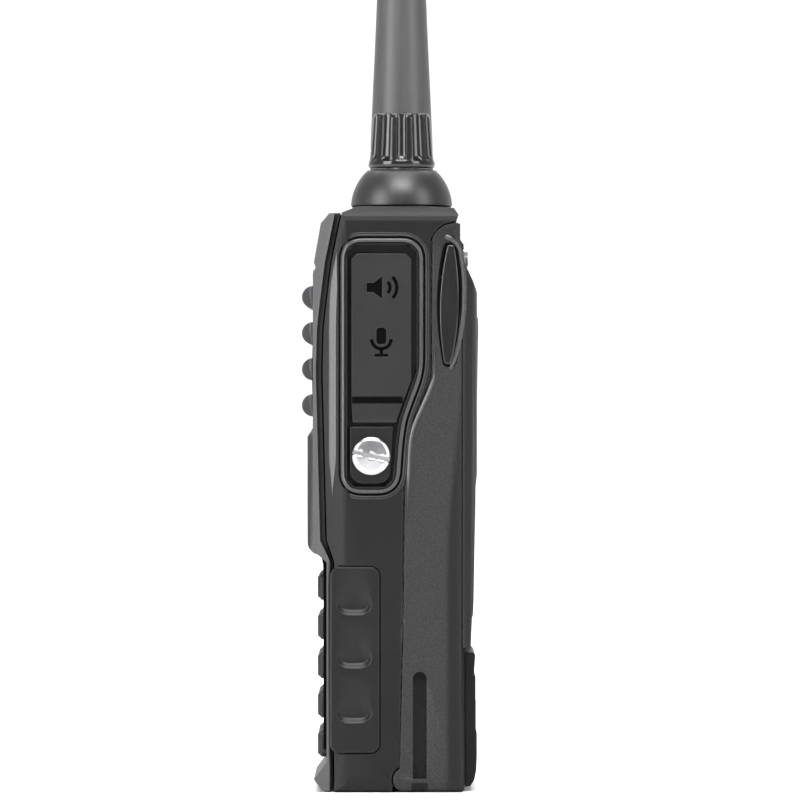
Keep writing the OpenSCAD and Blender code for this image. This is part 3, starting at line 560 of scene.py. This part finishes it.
# A raised strip on a surface. The section's rows are (offset to the right of the path, height over it), and
# place(a, b, height) puts a point of the path's plane on the surface. Open ends sink over the length fade,
# or with taper narrow to a point over it and sink only at the tip.
def strip(path, section, place, closed=False, fade=2.0, sink=None, taper=False):
    p = np.array(path, float)
    d = np.roll(p, -1, 0) - np.roll(p, 1, 0) if closed else np.gradient(p, axis=0)
    n = np.stack([d[:, 1], -d[:, 0]], -1) / np.linalg.norm(d, axis=1)[:, None]
    s = np.array(section, float)
    away = s[None, :, 0] + np.zeros((len(p), 1))
    h = s[None, :, 1] + np.zeros((len(p), 1))
    if sink is not None:
        h = h - sink(n[:, 0])[:, None]
    if not closed:
        run = np.concatenate([[0], np.cumsum(np.linalg.norm(np.diff(p, axis=0), axis=1))])
        k = (smoothStep(run, 0, fade) * smoothStep(run[-1] - run, 0, fade))[:, None]
        if taper:
            away = away * np.clip(k * stripEnd["wide"], stripEnd["least"], 1)
            k = np.clip(k * stripEnd["rise"], 0, 1)
        h = h * k - (1 - k) * stripEnd["under"]
    flat = p[:, None, :] + n[:, None, :] * away[..., None]
    return np.stack(place(flat[..., 0], flat[..., 1], h), -1), closed, True, not closed


# Places (y, z, height) on the right (1) or left (-1) side of the housing
def onSide(side):
    return lambda y, z, h: (side * (sideX(y) + h), y, z)


# Flat outline in (u, v) given thickness along w, as cutters, marks and icons
def prism(name, outlines, w0, w1, order=(1, 2, 0)):
    verts, faces, base = [], [], 0
    for outline in outlines:
        o = np.array(outline, float)
        n = len(o)
        pts = np.zeros((2 * n, 3))
        pts[:, list(order)] = np.concatenate([np.c_[o, np.full(n, w0)], np.c_[o, np.full(n, w1)]])
        i = np.arange(n) + base
        j = (np.arange(n) + 1) % n + base
        faces += np.stack([i, j, j + n, i + n], -1).tolist() + [i[::-1].tolist(), (i + n).tolist()]
        verts.append(pts)
        base += 2 * n
    mesh = bpy.data.meshes.new(name)
    mesh.from_pydata(np.concatenate(verts) * mm, [], faces)
    return tidyMesh(mesh, mergeGap / 10)


# Outline of a ring from angle a to angle b, in degrees
def ringPart(u, v, r, a, b, width, steps=14):
    t = np.radians(np.linspace(a, b, steps))
    outer = np.stack([u + (r + width / 2) * np.cos(t), v + (r + width / 2) * np.sin(t)], -1)
    inner = np.stack([u + (r - width / 2) * np.cos(t), v + (r - width / 2) * np.sin(t)], -1)
    return np.concatenate([outer, inner[::-1]])


# Rectangle between two corners
def bar(u0, v0, u1, v1):
    return [(u0, v0), (u1, v0), (u1, v1), (u0, v1)]


# Cuts shapes out of a piece and keeps the result as its mesh; its modifiers go first
def carve(obj, cutter):
    obj.modifiers.clear()
    tool = addObject("cutter", cutter)
    cut = obj.modifiers.new("carve", "BOOLEAN")
    cut.object, cut.operation, cut.solver = tool, "DIFFERENCE", "EXACT"
    done = bpy.data.meshes.new_from_object(obj.evaluated_get(bpy.context.evaluated_depsgraph_get()))
    obj.modifiers.clear()
    done.materials.clear()
    done.materials.append(obj.data.materials[0])
    obj.data = done
    bpy.data.objects.remove(tool)
    smoothShade(done, edgeRound["carvedSharp"])


# Housing and buttons
plainShells = ["front_case", "front_fascia", "battery_case", "battery_cover", "speaker_grille",
               "charge_block"]
joinedFlats = ["front_case"]
roundShells = {"cover_plate": 0.18, "screen_window": 0.12, "release_button_right": 0.25,
               "release_button_left": 0.25, "ptt_button": 0.30, "call_key": 0.25, "monitor_key": 0.25,
               "clip_screws": 0.12}
for name in plainShells:
    skin(name, joined=name in joinedFlats)
for name, width in roundShells.items():
    skin(name, width)
skin("cover_screw").data.materials[0] = finishes["spunNickel"]
keyNames = [n for n in nodes if n.startswith("key_")]
for name in keyNames:
    skin(name, 0.32)
print("stage: shells done,", len(plainShells) + len(roundShells) + len(keyNames))

# Antenna
antenna = {"sides": 96, "tipR": 3.3, "footR": 0.5, "swell": 1.0, "fall": 34.0, "power": 1.6, "boreR": 4.5,
           "boreH": 9.9}
antLo, antHi = lo("antenna_sheath"), hi("antenna_sheath")
antR, antH = (antHi[0] - antLo[0]) / 2, antHi[2] - antLo[2]
h = np.linspace(0.5, antH - antenna["tipR"], 60)
# the radius falls quickly over the first third, as exp(-(h / fall)^power), then slowly towards the tip
slim = antenna["tipR"] + antenna["swell"] * (1 - h / antH)
fall = np.exp(-((h / antenna["fall"]) ** antenna["power"]))
taper = slim + (antR - antenna["tipR"] - antenna["swell"]) * fall
t = np.linspace(0, np.pi / 2, 9)[1:]
tip = np.stack([antenna["tipR"] * np.cos(t), antH - antenna["tipR"] * (1 - np.sin(t))], -1)
socket = [(0, antenna["boreH"]), (antenna["boreR"], antenna["boreH"]), (antenna["boreR"], 0.0)]
antProfile = np.concatenate([socket, [(antR - antenna["footR"], 0.0)], np.stack([taper, h], -1), tip])
antC = np.array([*mid("antenna_sheath")[:2], antLo[2]])
newPiece(turned("antenna_whip", antProfile, antC, antenna["sides"]), "antenna", "antenna_rubber",
         replaced=("antenna_sheath",))

# Collars: the radius falls from foot to lip as (a - b)(1 - k^1.9)^0.83 for k from 0 to 1 up the side
collar = {"footR": 9.6, "lipR": 6.2, "curve": 1.9, "round": 0.83, "sides": 128,
          "bores": {"knob_collar": 3.6, "antenna_collar": 3.4}}
for name, bore in collar["bores"].items():
    cLo, cHi = lo(name), hi(name)
    tall = cHi[2] - cLo[2]
    a, b = collar["footR"], collar["lipR"]
    k = np.linspace(0.06, 0.99, 16)
    dome = np.stack([b + 0.1 + (a - b - 0.1) * (1 - k ** collar["curve"]) ** collar["round"], k * tall], -1)
    cone = np.concatenate([[(bore, 0), (a - 0.25, 0), (a, 0.2)], dome,
                           [(b - 0.2, tall), (b - 1.2, tall), (b - 1.4, tall - 0.3), (bore, tall - 0.3)]])
    newPiece(turned(name + "_cone", cone, (*mid(name)[:2], cLo[2]), collar["sides"]), "root",
             "case_plastic", "collarPlastic", replaced=(name,))

# Knob
knob = {"flutes": 12, "depth": 0.10, "sides": 360, "boreR": 2.25, "boreH": 8.6, "lean": 0.72, "land": 0.25}
kLo, kHi = lo("volume_knob"), hi("volume_knob")
kR, kH = (kHi[0] - kLo[0]) / 2, kHi[2] - kLo[2]
hh = np.linspace(1.9, kH - 0.9, 16)
knobProfile = np.concatenate([
    [(0.0, knob["boreH"]), (knob["boreR"], knob["boreH"]), (knob["boreR"], 0.0), (kR - 0.35, 0.0),
     (kR - 0.1, 0.12), (kR, 0.4), (kR, 1.1), (kR - 0.1, 1.3)],
    np.stack([kR - 0.2 - (hh - 1.2) * (knob["lean"] / kH), hh], -1),
    [(kR - 1.0, kH - 0.5), (kR - 1.2, kH - 0.15), (kR - 1.6, kH), (kR - 2.6, kH - 0.05),
     (kR - 3.0, kH - 0.3), (0.0, kH - 0.35)]])


# Round hollows between narrow lands, the root of the clipped cosine, only where the side is gripped
def fluteWaves(t, h):
    hollow = np.sqrt(np.clip(np.cos(knob["flutes"] * t) * 0.9 + knob["land"], 0, 1))
    reach = np.clip((h - 1.45) / 0.5, 0, 1) * np.clip((kH + 0.1 - h) / 0.8, 0, 1)
    return 1 - knob["depth"] * hollow * reach


kC = np.array([*mid("volume_knob")[:2], kLo[2]])
newPiece(turned("volume_knob_cap", knobProfile, kC, knob["sides"], fluteWaves), "volume_knob",
         "knob_plastic", replaced=("volume_knob",))
pointer = prism("knob_pointer", [[(-0.35, 0.3), (0.35, 0.3), (0.35, 3.2), (0, 3.7), (-0.35, 3.2)]],
                -(kR + 0.1), -(kR - 1.4), (0, 2, 1))
pointer.transform(Matrix.Translation(Vector(kC * mm)))
newPiece(pointer, "volume_knob", "key_rubber", "whitePrint")
lens = mid("torch_lens")
bezel = {"inner": 2.62, "outer": 3.5, "high": 0.35}
bezelRing = [(bezel["inner"], -0.05), (bezel["outer"], -0.05), (bezel["outer"], 0.15),
             (bezel["outer"] - 0.3, bezel["high"]), (bezel["inner"] + 0.1, bezel["high"]),
             (bezel["inner"], 0.2)]
newPiece(turned("torch_bezel", bezelRing, (lens[0], lens[1], top + 0.2)), "root", "bright_nickel")
print("stage: top controls done")

# Frame round the jack recess: a thick lip, lightened as a painted highlight, on a flat black strip that
# shows along both its edges as a painted shadow outline, then two lower ridges, also lightened as a painted
# highlight, that step down away from it and sink out of sight along the front
recessFrame = {"corner": 2.8, "height": 0.6}
recess = [(-8, top - 52.6), (0.5, top - 52.6), (1.1, top - 44.3), (1.7, top - 40), (2.9, top - 36.6),
          (5, top - 31), (5, top - 7.2), (-8, top - 7.2)]
recessPath = rounded(recess, recessFrame["corner"], 9)
tall = recessFrame["height"]
lipSection = [(0.5, -1.3), (0.52, tall - 0.25), (0.64, tall - 0.06), (0.84, tall), (1.06, tall - 0.04),
              (1.22, tall - 0.2), (1.3, 0.0), (1.3, -1.3)]
shadowStripSection = [(-0.02, -1.3), (-0.02, -0.3), (0.45, 0.05), (1.66, 0.04), (1.7, -0.2), (1.7, -1.3)]
ridgeSection = [(1.62, -1.3), (1.64, 0.1), (1.74, 0.3), (1.92, 0.3), (2.02, 0.1), (2.1, -0.05), (2.18, 0.1),
                (2.28, 0.16), (2.38, 0.06), (2.46, -0.25), (2.46, -1.3)]
for name, section, finish, sink in (("recess_frame", lipSection, "beadPlastic", None),
                                    ("recess_gasket", shadowStripSection, "innerBlack", None),
                                    ("recess_ridges", ridgeSection, "collarPlastic",
                                     lambda n: 1.2 * smoothStep(-n, 0.3, 0.8))):
    newPiece(gridMesh(name, strip(recessPath, section, onSide(1), True, sink=sink)), "root",
             "case_plastic", finish)

# Rubber cover with its pictograms
icons = {"y": -1.6, "speakerZ": top - 15.2, "micZ": top - 25.2, "deep": 0.3, "line": 0.5, "size": 1.3}
lw = icons["line"]
speakerIcon = [[(-2.1, -0.65), (-1.1, -0.65), (0.1, -1.6), (0.1, 1.6), (-1.1, 0.65), (-2.1, 0.65)],
               ringPart(0.1, 0, 1.15, -45, 45, lw), ringPart(0.1, 0, 2.15, -45, 45, lw)]
micIcon = [rounded(bar(-0.7, -0.5, 0.7, 1.9), 0.7), ringPart(0, 0.25, 1.4, 180, 360, lw),
           bar(-0.25, -1.9, 0.25, -1.2), bar(-1.0, -2.3, 1.0, -1.88)]
iconShapes = [np.array(part) * icons["size"] + (icons["y"], z)
              for shapes, z in ((speakerIcon, icons["speakerZ"]), (micIcon, icons["micZ"]))
              for part in shapes]
faceX = hi("jack_cover")[0]
cover = skin("jack_cover", joined=True)
cover.data.materials[0] = finishes["coverRubber"]
for part in iconShapes:
    carve(cover, prism("icon", [part], faceX - icons["deep"], faceX + 1))
evenShade(cover)
# flat black strip across the cover's groove above the strap: painted shade in the groove
grooveZ, grooveHalf, strapY = top - 36.3, 0.65, 2.4
grooveShadeBar = bar(lo("jack_cover")[1] + 0.1, grooveZ - grooveHalf, strapY, grooveZ + grooveHalf)
newPiece(prism("cover_groove", [grooveShadeBar], faceX - 0.6, faceX + 0.02), "jack_cover", "soft_rubber",
         "innerBlack")
# black sheet at the bottom of the carved pictograms: painted shade in the engravings
iconShadeLevel = faceX - icons["deep"]
newPiece(prism("cover_icon_floor", iconShapes, iconShadeLevel - 0.05, iconShadeLevel + 0.04), "jack_cover",
         "soft_rubber", "innerBlack")

# Nuts of the two jacks, behind the cover
jackNut = {"outer": 2.7, "proud": 0.55, "holes": (1.45, 1.95), "pitch": 11}
jackX = hi("jack_block")[0]
for i, hole in enumerate(jackNut["holes"]):
    z = mid("jack_block")[2] + (0.5 - i) * jackNut["pitch"]
    ring = [(hole, 0.0), (jackNut["outer"], 0.0), (jackNut["outer"], 0.4),
            (jackNut["outer"] - 0.15, jackNut["proud"]), (hole + 0.1, jackNut["proud"]), (hole, 0.4)]
    newPiece(turned("jack_nut_%d" % (i + 1), ring, (jackX + 0.02, 0, z), 64, along="x"), "root",
             "bright_nickel")
print("stage: jack cover done")

# Bright bead along the front edge of the case, thin rim along the battery's edge, guard beside each release
# button, all lightened as a painted highlight over their real reflections, and a flat black ring round each
# release button as painted shade of its gap
bothSides = (("right", 1), ("left", -1))
bead = {"line": [(-9.7, top - 6.5), (-10.35, top - 12), (-10.8, top - 20), (-10.8, 54)]}
shoulder = [(0.86, -0.5), (0.8, -0.06), (0.74, 0.1), (0.68, 0.145), (0.6, 0.16), (0.5, 0.16)]
beadSection = [(-a, h) for a, h in shoulder] + shoulder[::-1]
beadPath = stepped(rounded(bead["line"], 6, 8, False))
backEdge = [(1.95, 6), (2.4, 29), (2.7, top - 54.3), (3.15, top - 44.3), (3.8, top - 41.3),
            (6.75, top - 34.7), (7.75, top - 32.1), (7.85, top - 8)]
batteryRim = {"away": 0.62, "half": 0.32, "height": 0.18, "from": 50, "to": 86}
half = batteryRim["half"]
rimSection = [(-half - 0.05, -0.4), (-half, 0.0), (0, batteryRim["height"]), (half, 0.0),
              (half + 0.05, -0.4)]
rimPath = stepped(rounded(np.array(backEdge) + (batteryRim["away"], 0), 4, 8, False))
rimPath = rimPath[(rimPath[:, 1] > batteryRim["from"]) & (rimPath[:, 1] < batteryRim["to"])]
guard = {"half": 0.5, "height": 0.3}
guardLine = [(9.0, top - 5.8), (11.0, top - 5.6), (13.2, top - 7.6), (13.95, top - 13), (13.9, top - 20),
             (12.9, top - 26), (11.6, top - 30.2), (10.4, top - 31.2)]
half, tall = guard["half"], guard["height"]
guardSection = [(-half - 0.1, -0.6), (-half, -0.05), (-0.2, tall * 0.8), (0.05, tall), (0.3, tall * 0.7),
                (half, -0.1), (half + 0.1, -0.6)]
guardPath = stepped(rounded(guardLine, 5, 10, False), 0.5)
# gasket inside the seam between fascia and case, which keeps light out
seamFront = [(-11.1, top - 8), (-12, top - 17.5), (-12.6, top - 23), (-12.8, top - 31),
             (-12, screenZ + 0.8), (-10.6, screenZ - 3.2), (-10.6, 8)]
seal = {"reach": 1.9, "in": 4.7, "thick": 0.5}
seam = stepped(rounded(seamFront, 4, 6, False), 2.0)
sealOutline = np.concatenate([seam - (seal["reach"], 0), seam[::-1] + (seal["reach"], 0)])
for word, side in bothSides:
    x = side * (sideW - seal["in"])
    newPiece(prism("fascia_seal_" + word, [sealOutline], x - seal["thick"] / 2, x + seal["thick"] / 2),
             "root", "soft_rubber", "innerBlack")

# the button's outline: two arcs of radius r that would meet past its ends, which are cut blunt
btnLo, btnHi = lo("release_button_right"), hi("release_button_right")
halfL, halfW = (btnHi[2] - btnLo[2]) / 2, (btnHi[1] - btnLo[1]) / 2
far = halfL * 1.25
r = (far ** 2 + halfW ** 2) / (2 * halfW)
z = np.linspace(-halfL, halfL, 60)
arc = np.sqrt(r ** 2 - z ** 2) - (r - halfW)
shadeRingPath = np.concatenate([np.stack([arc, z], -1), np.stack([-arc, z], -1)[::-1]])
shadeRingPath = shadeRingPath + mid("release_button_right")[1:]
# a flat black ring just outside the button's outline: painted shade of the gap round the button
shadeRingSection = [(0.02, -0.7), (0.02, 0.02), (0.5, 0.02), (0.52, -0.7)]
edgeStrips = [
    ("release_gap_", shadeRingPath, shadeRingSection, {"closed": True}, "battery", "battery_plastic", "innerBlack"),
    ("case_bead_", beadPath, beadSection, {"fade": 11, "taper": True}, "root", "case_plastic",
     "beadPlastic"),
    ("battery_rim_", rimPath, rimSection, {"fade": 12, "taper": True}, "battery", "battery_plastic",
     "beadPlastic"),
    ("release_guard_", guardPath, guardSection, {"fade": 3}, "battery", "battery_plastic", "beadPlastic"),
]
for word, side in bothSides:
    for name, path, section, ends, body, slotName, finish in edgeStrips:
        newPiece(gridMesh(name + word, strip(path, section, onSide(side), **ends)), body, slotName, finish)

# Grip pads: rows run up the pad, its half width shrinking in the round ends. Each scoop deepens slowly
# downwards and comes back out over a short ledge that curves up at its sides.
pad = {"y": -6.55, "z": 24.9, "halfW": 4.7, "halfH": 17.55, "corner": 1.9, "proud": 0.15, "base": -0.85,
       "scoops": (12.8, 23.1, 33.1), "deep": 0.78, "ledge": 1.45, "run": 8.0, "middle": -6.7, "reach": 3.1,
       "edge": 0.45, "edgeDrop": 0.4, "curl": 1.1, "soften": 0.62, "front": -8.2}
v = np.linspace(-1, 1, 220)
rowZ = np.sign(v) * (1 - (1 - np.abs(v)) ** 1.15) * pad["halfH"]
over = np.clip(np.abs(rowZ) - (pad["halfH"] - pad["corner"]), 0, pad["corner"])
rowW = pad["halfW"] - pad["corner"] + np.sqrt(pad["corner"] ** 2 - over ** 2)
u = np.linspace(-1, 1, 60)
u = np.sign(u) * (1 - (1 - np.abs(u)) ** 1.3)
padY = pad["y"] + rowW[:, None] * u[None, :]
padZ = pad["z"] + rowZ[:, None] + 0 * u[None, :]
inside = np.minimum(rowW[:, None] * (1 - np.abs(u[None, :])), (pad["halfH"] - np.abs(rowZ))[:, None])
edge = np.clip(inside / pad["edge"], 0, 1)
rise = pad["proud"] - pad["edgeDrop"] * (1 - np.sqrt(1 - (1 - edge) ** 2))
across = np.abs(padY - pad["middle"]) / pad["reach"]
for z in pad["scoops"]:
    foot = z + pad["curl"] * np.clip(across, 0, 1) ** 4
    out = smoothStep(padZ, foot, foot + pad["ledge"])
    back = 1 - smoothStep(padZ, foot + pad["ledge"], foot + pad["ledge"] + pad["run"])
    soft = pad["soften"] * smoothStep(padZ, foot + 0.4, foot + 4)
    rise = rise - pad["deep"] * out * back * (1 - smoothStep(across, 0.86 - soft, 1.1))
padX = sideX(np.maximum(padY, pad["front"])) + rise
skirt = np.full((len(v), 1), sideW + pad["base"])
padX = np.concatenate([skirt, padX, skirt], 1)
padY = np.concatenate([padY[:, :1], padY, padY[:, -1:]], 1)
padZ = np.concatenate([padZ[:, :1], padZ, padZ[:, -1:]], 1)
shape = np.stack([padX, padY, padZ], -1)
floorRow = shape * 1.0
floorRow[..., 0] = sideW + pad["base"]
shape = np.concatenate([floorRow[:1], shape, floorRow[-1:]])
padPair = [(shape * (side, 1, 1), False, True, False) for side in (1, -1)]
newPiece(gridMesh("grip_pad_set", *padPair, angle=50), "root", "soft_rubber", replaced=("grip_pads",))


# Small rounded lumps: each is an ellipsoid about its centre
def lumps(name, centres, radii, rings=12, sides=24):
    a = np.linspace(-np.pi / 2, np.pi / 2, rings)[:, None]
    b = np.linspace(0, 2 * np.pi, sides, endpoint=False)[None, :]
    form = np.stack([np.cos(a) * np.cos(b), np.cos(a) * np.sin(b), np.sin(a) + 0 * b], -1) * np.array(radii)
    return gridMesh(name, *[(form + np.array(c), False, True, False) for c in centres])


# Ribs across the talk button, one dot on the upper side key and two on the lower one
lumpRows = [("ptt_ribs", "ptt_button", 7, 2.9, (0.42, 2.9, 0.62)),
            ("call_key_dots", "call_key", 1, 1.8, (0.3, 0.55, 0.55)),
            ("monitor_key_dots", "monitor_key", 2, 1.8, (0.3, 0.55, 0.55))]
for name, button, count, pitch, radii in lumpRows:
    m = mid(button)
    centres = [(lo(button)[0], m[1], m[2] + (i - (count - 1) / 2) * pitch) for i in range(count)]
    newPiece(lumps(name, centres, radii), button, "soft_rubber")
print("stage: side pieces done")

# Raised border on the battery's back
backPanel = {"halfW": 20, "low": 33, "high": top - 21, "corner": 3, "height": 0.22,
             "levels": (27, 37.7, 55, top - 50, top - 16.1), "in": (1.2, 0.75, 0.55, 0, 0)}
w, tall = backPanel["halfW"], backPanel["height"]
border = rounded(bar(-w, backPanel["low"], w, backPanel["high"]), backPanel["corner"], 9)
borderSection = [(-0.5, -0.3), (-0.42, 0.0), (-0.2, tall), (0.2, tall), (0.42, 0.0), (0.5, -0.3)]


# The cover's back lies further in below the battery's widest part, as given level by level
def onCover(x, z, h):
    return x, backY - np.interp(z, backPanel["levels"], backPanel["in"]) + h, z


newPiece(gridMesh("battery_border", strip(border, borderSection, onCover, True)), "battery",
         "battery_plastic", "casePlastic")

# Key legends: generic telephone digits and plain signs
legend = {"size": 3.4, "thick": 0.05, "starDrop": 0.9}
digits = {"key_star": "*", "key_hash": "#", **{"key_%d" % i: str(i) for i in range(10)}}


# A sign as a thin mesh that faces the front at (x, y, z)
def textMesh(name, text, size, x, y, z, thick):
    font = bpy.data.curves.new(name, "FONT")
    font.body, font.size, font.align_x, font.align_y = text, size * mm, "CENTER", "CENTER"
    font.extrude, font.resolution_u = thick * mm / 2, 3
    holder = addObject(name, font)
    mesh = bpy.data.meshes.new_from_object(holder.evaluated_get(bpy.context.evaluated_depsgraph_get()))
    bpy.data.objects.remove(holder)
    mesh.transform(Matrix.Translation(Vector((x, y, z)) * mm) @ Matrix.Rotation(math.radians(90), 4, "X"))
    mesh.name = name
    return mesh


for name, text in digits.items():
    m = mid(name)
    drop = legend["starDrop"] if text == "*" else 0
    sign = textMesh("legend_" + name[4:], text, legend["size"], m[0], lo(name)[1], m[2] - drop,
                    legend["thick"])
    newPiece(sign, name, "key_rubber", "whitePrint")
signs = {"key_menu": [bar(-1.5, 0.75, 1.5, 1.1), bar(-1.5, -0.18, 1.5, 0.18), bar(-1.5, -1.1, 1.5, -0.75)],
         "key_up": [[(-1.4, -0.8), (1.4, -0.8), (0, 1.1)]],
         "key_down": [[(-1.4, 0.8), (0, -1.1), (1.4, 0.8)]],
         "key_exit": [[(-1.7, 0), (-0.3, -1.2), (-0.3, 1.2)], bar(-0.3, -0.3, 1.7, 0.3)]}


# Shapes drawn about (0, 0), moved to a middle in the front view
def placedAt(m, shapes):
    return [[(m[0] + u, m[2] + v) for u, v in shape] for shape in shapes]


for name, shapes in signs.items():
    y = lo(name)[1]
    newPiece(prism("legend_" + name[4:], placedAt(mid(name), shapes), y - legend["thick"] / 2, y + 0.1,
                   (0, 2, 1)), name, "key_rubber", "whitePrint")

# Display marks behind the window: battery, signal steps and segment rows
display = {"digits": 6, "start": -13.2, "pitch": 4.6, "split": 2, "gap": 2.2, "steps": 5, "stepPitch": 1.5}
batterySign = [(11.5, 4.6, 15, 4.85), (11.5, 6.0, 15, 6.25), (11.5, 4.85, 11.8, 6.0),
               (14.7, 4.85, 15, 6.0), (15, 5.15, 15.4, 5.7), (12.1, 5.1, 13.9, 5.75)]
digitStrokes = [(0.35, 2.3, 2.35, 2.7), (0.35, -0.7, 2.35, -0.3), (0.35, -3.7, 2.35, -3.3),
                (0, -0.4, 0.4, 2.4), (2.3, -0.4, 2.7, 2.4), (0, -3.4, 0.4, -0.6), (2.3, -3.4, 2.7, -0.6)]
glassY = lo("screen_module")[1]
marks = [bar(-15 + i * display["stepPitch"], 4.4, -14 + i * display["stepPitch"], 5.0 + i * 0.5)
         for i in range(display["steps"])]
marks += [bar(*corners) for corners in batterySign]
for i in range(display["digits"]):
    x = display["start"] + i * display["pitch"] + (display["gap"] if i > display["split"] else 0)
    marks += [bar(x + u0, v0, x + u1, v1) for u0, v0, u1, v1 in digitStrokes]
marks.append(bar(1.1, -3.7, 1.7, -3.1))
newPiece(prism("display_marks", placedAt(mid("screen_window"), marks), glassY - 0.04, glassY + 0.02,
               (0, 2, 1)), "root", "screen_glass", "segmentInk")
print("stage: front details done")

# Camera
view = {"distance": 1.5, "lookY": 1.9, "lookZ": 73.7, "across": 150.1, "sensor": 36.0, "far": 40.0}
cam = bpy.data.cameras.new("camera")
camObj = addObject("camera", cam)
bpy.context.scene.camera = camObj
camObj.location = (sideW * mm + view["distance"], view["lookY"] * mm, view["lookZ"] * mm)
camObj.rotation_euler = (math.radians(90), 0, math.radians(90))
cam.sensor_width = view["sensor"]
cam.lens = view["sensor"] * view["distance"] / (view["across"] * mm)
cam.clip_end = view["far"]

# Round sweep: floor that curves up into a wall all the way round
sweep = {"floorR": 3.6, "bendR": 0.9, "wallH": 3.6, "sides": 96}
a = np.linspace(0, np.pi / 2, 14)
ringR = np.concatenate([[0.001, 1.2], sweep["floorR"] + sweep["bendR"] * np.sin(a),
                        [sweep["floorR"] + sweep["bendR"]]])
ringZ = np.concatenate([[0, 0], sweep["bendR"] * (1 - np.cos(a)), [sweep["wallH"]]])
t = np.linspace(0, 2 * np.pi, sweep["sides"], endpoint=False)
pts = np.stack([ringR[:, None] * np.cos(t), ringR[:, None] * np.sin(t), ringZ[:, None] + 0 * t], -1)
floor = addObject("floor", bpy.data.meshes.new("floor"))
floor.data.from_pydata(pts.reshape(-1, 3), [], gridFaces(len(ringR), len(t), False, True).tolist())
floor.data.polygons.foreach_set("use_smooth", np.ones(len(floor.data.polygons), bool))
pale = Finish("paleFloor")
floor.data.materials.append(pale.shader(
    Base_Color=pale.blend(pale.noise(0.004, 2.0), grey(0.86), grey(0.88)), Roughness=0.8))


# A rectangular light at place that faces aim and isn't seen itself
def softLight(name, place, aim, size, power):
    lamp = bpy.data.lights.new(name, "AREA")
    lamp.shape, lamp.size, lamp.size_y, lamp.energy = "RECTANGLE", size[0], size[1], power
    obj = addObject(name, lamp)
    obj.location = place
    obj.rotation_euler = (Vector(aim) - Vector(place)).to_track_quat("-Z", "Y").to_euler()
    obj.visible_camera = False


# name: where it hangs, where it aims, its size, its power
lights = {
    "frontBox": ((0.86, -1.10, 0.50), (0, 0, 0.12), (0.75, 1.0), 18),
    "rearBox": ((0.83, 1.06, 0.60), (0, 0, 0.14), (0.6, 1.0), 10),
    "highBox": ((0.85, 0.0, 1.25), (0, 0, 0.08), (0.9, 0.5), 22),
    "overhead": ((-0.1, 0.0, 1.6), (-0.1, 0, 0), (1.5, 1.3), 22),
    "backdrop": ((-1.6, 0.0, 2.4), (-3.1, 0, 0.1), (3.4, 1.3), 92),
}
for name, (place, aim, size, power) in lights.items():
    softLight(name, place, aim, size, power)
sky = {"colour": (0.95, 0.97, 1.0, 1), "power": 0.10}
world = bpy.data.worlds.new("studio")
world.use_nodes = True
world.node_tree.nodes["Background"].inputs[0].default_value = sky["colour"]
world.node_tree.nodes["Background"].inputs[1].default_value = sky["power"]
bpy.context.scene.world = world
bpy.context.scene.view_settings.view_transform = "Standard"
print("stage: camera and lights set")
